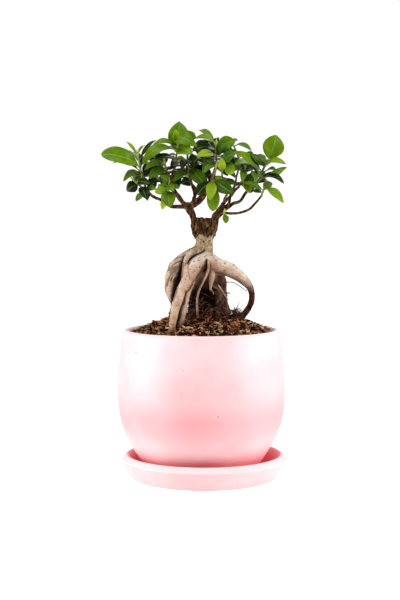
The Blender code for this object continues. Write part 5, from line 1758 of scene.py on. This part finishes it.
# From 0, dark, to 1, yellow-green: partly a leaf's age, partly painted light and shade
TONES_AND_PAINTED_LIGHT = {
    "shoot_left": (0.56, 0.05, 0.85, 0.85, 0.04, 0.45, 0.1, 0.12, 0.15, 0.08, 0.06),
    "shoot_low_left": (0.08, 0.12, 0.5, 0.5, 0.12, 0.05, 0.1, 0.45),
    "shoot_hanging_left": (0.5, 0.72, 0.6, 0.5, 0.4, 0.9, 0.42),
    "shoot_upper_left": (0.52, 0.52, 0.58, 0.56, 0.62, 0.15, 0.74, 0.1, 0.12),
    "shoot_mid_left": (0.48, 0.58, 0.42, 0.08, 0.1),
    "shoot_centre": (0.1, 0.52, 0.12, 0.55, 0.46, 0.35, 0.8, 0.15, 0.3, 0.1),
    "shoot_top": (0.78, 0.36, 0.52, 0.62, 0.55, 0.3, 0.3, 0.4, 0.15, 0.15),
    "shoot_front_centre": (0.74, 0.6, 0.12, 0.32, 0.45, 0.25),
    "shoot_front_right": (0.8, 0.25, 0.85, 0.64, 0.5, 0.42),
    "shoot_mid_right": (0.6, 0.76, 0.36, 0.46, 0.1),
    "shoot_upper_right": (0.45, 0.52, 0.2, 0.1, 0.12),
    "shoot_right": (0.58, 0.7, 0.45, 0.5, 0.25, 0.4, 0.58, 0.5, 0.4, 0.6, 0.5, 0.15, 0.08, 0.1),
    "shoot_low_right": (0.64, 0.5, 0.44, 0.35),
    "shoot_low": (0.6,),
}
# The hidden leaves at the back are given a darker tone as painted shade
BACK_SHADE_TONE = 0.26
BACK_TONE_SWING = 0.18
# Each tone is partly a leaf's age and partly painted light and shade
print("leaves with a freshness of their own:", sum(len(tones) for tones in TONES_AND_PAINTED_LIGHT.values()))

# %% [markdown]
# ### Twigs
#
# A twig carries on the line of its branch. A stalk could start anywhere on it, but here it keeps
# clear of the branch and stays sunk in the twig's end, as in the CAD model.

# %% Twigs and where stalks join them
GAP = 0.3 * MM
SUNK = 1.2 * MM
FREE_STEM = 3.2 * MM


def unit(way):
    """A direction of length one."""
    return way / np.linalg.norm(way)


def twig_line(shoot):
    """The twig of a shoot: on from the end of its branch, then through its own points."""
    branch = smooth_path(route(BRANCHES[shoot.branch]), 2 if shoot.branch in SCIONS else 1)
    ahead = unit(branch[-1, :3] - branch[-2, :3])
    starts = [np.append(branch[-1, :3] + ahead * far, branch[-1, 3]) for far in (GAP, 4 * GAP)]
    return np.vstack([starts, route(shoot.twig)])


def place_along(line, share):
    """The place at a share of a line's length."""
    length = line_lengths(line)
    return np.array([np.interp(share * length[-1], length, line[:, i]) for i in range(3)])


def stalk_start(line, share):
    """Where a leaf joins its twig: clear of the branch below and sunk in the twig's end."""
    length = line_lengths(line)[-1]
    return place_along(line, min(max(share, FREE_STEM / length), 1 - SUNK / length))


print("longest twig in mm:", round(max(line_lengths(twig_line(s))[-1] for s in SHOOTS.values()) / MM, 1))

# %% [markdown]
# ### The outline of a leaf
#
# A fig leaf is egg-shaped: half its breadth is a power of a sine, whose peak an exponent moves. A
# picture on a card would look flat from the side. The CAD leaf has this outline at a few stations.

# %% Outline
STALK_SHARE = 0.16
BLADE_FOLD = math.radians(16)
BLUNTNESS = 0.7


def half_breadth(s, egg):
    """Half the blade's breadth for a full width of 1, at a share s: 0.5 sin(pi s^egg)^(0.7/egg)."""
    return 0.5 * np.clip(np.sin(np.pi * np.clip(s, 0, 1) ** egg), 0, 1) ** (BLUNTNESS / egg)


def leaf_frame(base, tip, face):
    """The leaf's way ahead, the way its upper side looks, and the way across it."""
    ahead = tip - base
    angle = math.radians(face)
    up = np.array([0, -math.sin(angle), math.cos(angle)])
    up = unit(up - ahead * (up @ ahead) / (ahead @ ahead))
    return ahead, up, np.cross(unit(ahead), up)


def leaf_bow(leaf, share):
    """How far a leaf bows up at a share of its length: 4 bow s (1 - s)."""
    return leaf.bow * MM * 4 * share * (1 - share)


def edge_points(base, tip, leaf, stations):
    """The corner points of the CAD leaf: its margin at each station, and its tip."""
    ahead, up, side = leaf_frame(base, tip, leaf.face)
    found = [tip]
    for share in stations:
        middle = base + ahead * share + up * leaf_bow(leaf, share)
        half = leaf.width * MM * half_breadth((share - STALK_SHARE) / (1 - STALK_SHARE), leaf.egg)
        rise = up * half * math.sin(BLADE_FOLD)
        found += [middle + side * hand * half * math.cos(BLADE_FOLD) + rise for hand in (-1, 1)]
    return np.array(found)


print("half the breadth of a blade in its middle:", round(float(half_breadth(0.5, 1.08)), 2))

# %% [markdown]
# ### The hidden leaves
#
# A fig sets each leaf a golden angle on from the last, and the hidden back of the crown follows
# that rule. In the CAD model a leaf that would cross another was bent nearer or farther. A table
# could copy that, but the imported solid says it: each depth is tried, and the one whose outline
# lies on the solid's points is kept.

# %% Leaves by the golden angle
BACK_LEAF_LENGTH = 28.8 * MM
BACK_LEAF_SWING = 0.22
SWING_STEP = 2.1
BACK_LEAF_WIDTH = 17
BACK_LEAF_LEAN = 25
BACK_LEAF_BOW = 4
SPARE_PLACES = 4
SPARE_STRIDE = 7
GOLDEN_ANGLE = math.radians(137.5)
LOWEST_RISE = math.radians(-8)
HIGHEST_RISE = math.radians(36)


def rule_leaves(count, line):
    """The places for a hidden shoot's leaves, by the golden angle, as the CAD model has them."""
    found = []
    places = count * SPARE_PLACES
    for i in range(places):
        share = (i * SPARE_STRIDE % places) / (places - 1)
        turn = GOLDEN_ANGLE * (i + count)
        rise = LOWEST_RISE + (HIGHEST_RISE - LOWEST_RISE) * share
        length = BACK_LEAF_LENGTH * (1 + BACK_LEAF_SWING * math.sin(SWING_STEP * i))
        level = math.cos(rise)
        out = np.array([math.sin(turn) * level, math.cos(turn) * level, math.sin(rise)])
        tip = (place_along(line, share) + out * length) / MM
        x, z = front_place(tip)
        lean = -BACK_LEAF_LEAN * math.cos(turn)
        found.append(Leaf(share, x, z, tip[1], BACK_LEAF_WIDTH, lean, BACK_LEAF_BOW))
    return found


DEPTH_STEPS = (0, 2, -2, 4, -4, 6, -6, 8, -8, 11, -11, 14, -14, 18, -18, 22, -22, 27, -27)
SOLID_STATIONS = (0.36, 0.64, 0.89)
HIDDEN_STATIONS = (0.44, 0.80)
FIT = 0.7 * MM


def farthest(places, points):
    """How far the worst of some places is from the nearest of the points."""
    return np.linalg.norm(places[:, None] - points[None], axis=2).min(axis=1).max()


def settled_leaves(name, shoot, line):
    """(leaf, base, tip, tone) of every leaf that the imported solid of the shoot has."""
    solid = mesh_arrays(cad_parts[name].data)[0]
    by_rule = isinstance(shoot.leaves, int)
    leaves = rule_leaves(shoot.leaves, line) if by_rule else [Leaf(*row) for row in shoot.leaves]
    stations = HIDDEN_STATIONS if by_rule else SOLID_STATIONS
    found = []
    for number, leaf in enumerate(leaves):
        base = stalk_start(line, leaf.at)
        tips = [seen(leaf.x, leaf.z, leaf.y + step) for step in DEPTH_STEPS]
        misses = [farthest(edge_points(base, tip, leaf, stations), solid) for tip in tips]
        best = int(np.argmin(misses))
        if misses[best] < FIT:
            by_turn = BACK_SHADE_TONE + BACK_TONE_SWING * math.sin(2.7 * number)
            found.append((leaf, base, tips[best], by_turn if by_rule else TONES_AND_PAINTED_LIGHT[name][number]))
        elif not by_rule:
            print("  leaf", number, "of", name, "isn't in the solid:", round(misses[best] / MM, 2), "mm off")
    return found


print("depths tried for a leaf:", len(DEPTH_STEPS))

# %% [markdown]
# ### A blade
#
# A fig's leaf is thick and glossy. Its halves rise from a sunken midrib and arch over towards a
# waved margin, and the tip bends down. On the grid v runs from stalk to tip and u from margin to
# margin. Its two faces are the grid moved up and down; a Solidify modifier wouldn't thin the
# margin.

# %% Blades
BLADE_ROWS = 16
BLADE_COLUMNS = 11
BLADE_THICKNESS = 0.5 * MM
MARGIN_THINNING = 0.7
HALF_LIFT = 0.44
HALF_ARCH = 0.17
DROOP_FROM = 0.68


def blade_grid(leaf, base, tip, rng):
    """point(v, u) = midrib(v) + side u b(v) + up (b(v) (0.44 |u| - 0.17 u^2 + wave) - droop + twist).

    Returns the points, the way that the upper side looks at each, and the parameters u and v.
    """
    ahead, up, side = leaf_frame(base, tip, leaf.face)
    length = np.linalg.norm(ahead)
    v = 0.5 - 0.5 * np.cos(np.pi * np.linspace(0, 1, BLADE_ROWS) ** 0.9)
    u = np.linspace(-1, 1, BLADE_COLUMNS)
    u = np.sign(u) * np.abs(u) ** 0.85
    share = STALK_SHARE + (1 - STALK_SHARE) * v
    half = np.maximum(leaf.width * MM * half_breadth(v, leaf.egg), 0.4 * MM * (1 - 0.6 * v))[:, None]
    swing = rng.normal(0, 0.025) * length * np.sin(np.pi * v)
    midrib = base + share[:, None] * ahead + leaf_bow(leaf, share)[:, None] * up + swing[:, None] * side
    height, waves = rng.uniform(0.02, 0.075), rng.uniform(1.4, 2.4)
    turns = 2 * np.pi * (waves * v[:, None] + 0.25 * np.sign(u)) + rng.uniform(0, 6)
    lift = half * (HALF_LIFT * np.sqrt(u ** 2 + 0.004) - HALF_ARCH * u ** 2 + height * np.sin(turns) * u ** 2)
    droop = 0.05 * length * step_between(DROOP_FROM, 1.0, v)[:, None] ** 2
    twist = rng.normal(0, 0.10) * (v[:, None] - 0.3) * u * half
    grid = midrib[:, None] + (u * half)[..., None] * side + (lift - droop + twist)[..., None] * up
    normal = np.cross(np.gradient(grid, axis=0), np.gradient(grid, axis=1))
    normal /= np.linalg.norm(normal, axis=2, keepdims=True) + 1e-12
    normal *= np.where(normal @ up < 0, -1, 1)[..., None]
    return grid, normal, u, v


def blade_shell(leaf, base, tip, tone, seed):
    """The upper and the lower face of a blade, joined by a rim along the margin."""
    grid, normal, u, v = blade_grid(leaf, base, tip, np.random.default_rng(SEED + seed))
    thick = BLADE_THICKNESS * (1 - MARGIN_THINNING * np.abs(u) ** 6)[None, :, None]
    count = BLADE_ROWS * BLADE_COLUMNS
    upper_side = (grid + normal * thick / 2).reshape(-1, 3)
    lower_side = (grid - normal * thick / 2).reshape(-1, 3)
    faces = grid_faces(BLADE_ROWS, BLADE_COLUMNS, False)
    index = np.arange(count).reshape(BLADE_ROWS, BLADE_COLUMNS)
    border = np.concatenate([index[0, :-1], index[:-1, -1], index[-1, :0:-1], index[:0:-1, 0]])
    after = np.roll(border, -1)
    rim = np.stack([border, after, after + count, border + count], -1)
    uv = np.stack(np.broadcast_arrays(0.5 + 0.5 * u, v[:, None]), -1).reshape(-1, 2)
    values = {"tone": np.full(2 * count, tone), "upper": np.repeat([1.0, 0.0], count)}
    faces = np.vstack([faces, faces[:, ::-1] + count, rim[:, ::-1]])
    return Shell(np.vstack([upper_side, lower_side]), faces, np.vstack([uv, uv]), values)


print("points of a blade:", 2 * BLADE_ROWS * BLADE_COLUMNS)

# %% [markdown]
# ### Stalks and buds
#
# A stalk is a thin green tube. At the tip of each twig the next leaf is rolled up in a pointed
# sheath, which a rounded end would lack. Both are tubes whose radius follows a few numbers.

# %% Stalks, twigs and buds
STALK_RADIUS = 0.62 * MM
STALK_GIRTH = np.array([1.25, 1.0, 0.92, 0.85, 0.7, 0.35])
BUD_LENGTH = 6.5 * MM
BUD_GIRTH = np.array([0.9, 1.15, 1.1, 0.9, 0.6, 0.3, 0.08])


def stalk_shell(leaf, base, tip, tone):
    """The stalk: a thin tube from inside the twig to a little way under the blade."""
    ahead, up, _ = leaf_frame(base, tip, leaf.face)
    share = np.linspace(0, STALK_SHARE + 0.12, len(STALK_GIRTH))
    rise = leaf_bow(leaf, share) - 0.2 * MM * share / STALK_SHARE
    line = base + share[:, None] * ahead + rise[:, None] * up
    # The stalk's green follows its leaf's tone, painted light and shade included
    return tube_shell(line, STALK_RADIUS * STALK_GIRTH, 8, {"green": 0.55 + 0.45 * tone})


def twig_shells(line):
    """A twig, from a little inside its branch to its tip, with its pointed bud."""
    ahead = unit(line[1, :3] - line[0, :3])
    inside = np.append(line[0, :3] - 2.2 * MM * ahead, line[0, 3] * 0.9)
    path = smooth_path(np.vstack([inside, line]), 6)
    green = np.linspace(0, 1, len(path)) ** 1.6 * 0.8
    twig = tube_shell(path[:, :3], path[:, 3], 10, {"green": green})
    out = unit(path[-1, :3] - path[-3, :3])
    s = np.linspace(0, 1, len(BUD_GIRTH))
    bud_line = path[-1, :3] + np.outer(s * BUD_LENGTH - 0.6 * MM, out)
    bud = tube_shell(bud_line, path[-1, 3] * BUD_GIRTH, 8, {"green": 1.0})
    return [twig, bud]


print("a bud is", round(BUD_LENGTH / MM, 1), "mm long")

# %% [markdown]
# ### Veins
#
# The midrib is pale and sunken, and fine side veins leave it in pairs. The grid of the blade is
# too coarse for them; a sine of the surface coordinates draws them, a little wider than life.

# %% Veins
VEIN_PAIRS = 10
VEIN_SLANT = 0.55
VEIN_PALENESS = 0.16
MIDRIB_PALENESS = 0.5


def leaf_veins(tree):
    """Masks from 0 to 1 for the side veins and for the midrib."""
    across = add(tree, "SeparateXYZ", Vector=add(tree, "UVMap", {"uv_map": "surface"}))
    onward = across.node.outputs["Y"]
    centred = add(tree, "Math", {"operation": "SUBTRACT"}, _0=across, _1=0.5)
    away = add(tree, "Math", {"operation": "ABSOLUTE"}, _0=centred)
    slant = add(tree, "Math", {"operation": "MULTIPLY_ADD"}, _0=away, _1=-VEIN_SLANT, _2=onward)
    comb = add(tree, "Math", {"operation": "MULTIPLY"}, _0=slant, _1=VEIN_PAIRS * math.pi)
    wave = add(tree, "Math", {"operation": "SINE"}, _0=comb)
    ridge = add(tree, "Math", {"operation": "ABSOLUTE"}, _0=wave)
    vein = add(tree, "MapRange", Value=ridge, _1=0.0, _2=0.22, _3=1.0, _4=0.0)
    midrib = add(tree, "MapRange", Value=away, _1=0.012, _2=0.045, _3=1.0, _4=0.0)
    return vein, midrib


print("pairs of side veins:", VEIN_PAIRS)

# %% [markdown]
# ### Waxy leaf
#
# The upper face has a wax coat and shines in soft streaks; the lower is paler and dull. Light
# comes through yellow-green. Subsurface scattering is meant for thick things, so a translucent
# shader is mixed in.

# %% Leaf finish
WAX_SHEEN = 0.22
LIGHT_THROUGH = 0.28
LEAF_GREENS = [
    (0.0, "0C1C02"), (0.2, "244203"), (0.4, "477003"), (0.55, "689304"), (0.7, "8DB312"), (0.85, "B3CB26"),
    (1.0, "D2DF44"),
]


def toned(tree, place, name, size, stops):
    """The colour on a ramp at the mesh's named value, shifted a little by a cloud of a size in mm."""
    value = add(tree, "Attribute", {"attribute_name": name}, out="Fac")
    cloud = add(tree, "TexNoise", Vector=place, Scale=per_mm(size), Detail=3.0)
    varied = add(tree, "Math", {"operation": "MULTIPLY_ADD"}, _0=cloud, _1=0.3, _2=value)
    level = add(tree, "Math", {"operation": "SUBTRACT"}, _0=varied, _1=0.15)
    return add(tree, "ValToRGB", stops=stops, _0=level)


def waxy_leaf():
    """A soft sheen over clouded green above, dull and paler below, with light coming through."""
    finish, tree, shader = new_finish("waxy_ficus_leaf")
    place = add(tree, "TexCoord", out="Object")
    upper = add(tree, "Attribute", {"attribute_name": "upper"}, out="Fac")
    vein, midrib = leaf_veins(tree)
    faint = add(tree, "Math", {"operation": "MULTIPLY"}, _0=vein, _1=VEIN_PALENESS)
    clear = add(tree, "Math", {"operation": "MULTIPLY"}, _0=midrib, _1=MIDRIB_PALENESS)
    pale = add(tree, "Math", {"operation": "MAXIMUM"}, _0=faint, _1=clear)
    green = toned(tree, place, "tone", 7, LEAF_GREENS)
    veined = add(tree, "MixRGB", _0=pale, _1=green, _2=linear("B4CC66"))
    dull = add(tree, "MixRGB", _0=0.4, _1=veined, _2=linear("7C9440"))
    # Ambient occlusion paints shade deep among the leaves
    colour = occlusion_shaded(tree, coated(tree, dull, [("upper", veined)]), 18, "102203", 0.7)
    gloss = add(tree, "MapRange", Value=upper, _3=0.6, _4=0.3)
    sunk = add(tree, "Math", {"operation": "MAXIMUM"}, _0=vein, _1=midrib)
    relief = add(tree, "Bump", {"invert": True}, Strength=0.35, Distance=0.3 * MM, Height=sunk)
    plug(shader, Base_Color=colour, Roughness=gloss, Normal=relief, IOR=1.42, Specular_IOR_Level=WAX_SHEEN)
    through = add(tree, "MixRGB", {"blend_type": "MULTIPLY"}, _0=1.0, _1=colour, _2=linear("F2F59A"))
    glow = add(tree, "BsdfTranslucent", Color=through)
    mix = add(tree, "MixShader", _0=LIGHT_THROUGH, _1=shader.outputs["BSDF"], _2=glow)
    plug(tree.nodes["Material Output"], Surface=mix)
    return finish


LEAF = waxy_leaf()
print("finish:", LEAF.name)

# %% [markdown]
# ### Young bark
#
# Twigs are brown where old and green where young, and buds and stalks are green. The age is a
# value on the mesh, so one smooth finish serves them all.

# %% Young bark finish
TWIG_TONES = [(0.0, "4B3122"), (0.35, "6B5234"), (0.6, "6F7A2E"), (1.0, "A9BE4C")]


def young_bark():
    """Smooth bark that goes from brown to green."""
    finish, tree, shader = new_finish("young_ficus_bark")
    place = add(tree, "TexCoord", out="Object")
    colour = toned(tree, place, "green", 2, TWIG_TONES)
    plug(shader, Base_Color=colour, Roughness=0.6)
    return finish


YOUNG = young_bark()
print("finish:", YOUNG.name)

# %% [markdown]
# ### Leafy shoots
#
# The blades of a shoot make one piece, which takes the place of that shoot's solid. Twigs and
# stalks have another finish; two materials on a mesh would do, but they are a piece of their own.

# %% Leafy shoots
soft_stems = []
leaf_total = 0
for order, (name, shoot) in enumerate(SHOOTS.items()):
    line = twig_line(shoot)
    leaves = settled_leaves(name, shoot, line)
    blades = [blade_shell(*row, seed=1000 + 50 * order + i) for i, row in enumerate(leaves)]
    piece = make_piece(name.replace("shoot", "leaves"), gathered(blades), LEAF)
    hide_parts(name)
    soft_stems += twig_shells(line) + [stalk_shell(*row) for row in leaves]
    leaf_total += len(leaves)
STEMS = make_piece("twigs_and_stalks", gathered(soft_stems), YOUNG)
print("leaves in all:", leaf_total)
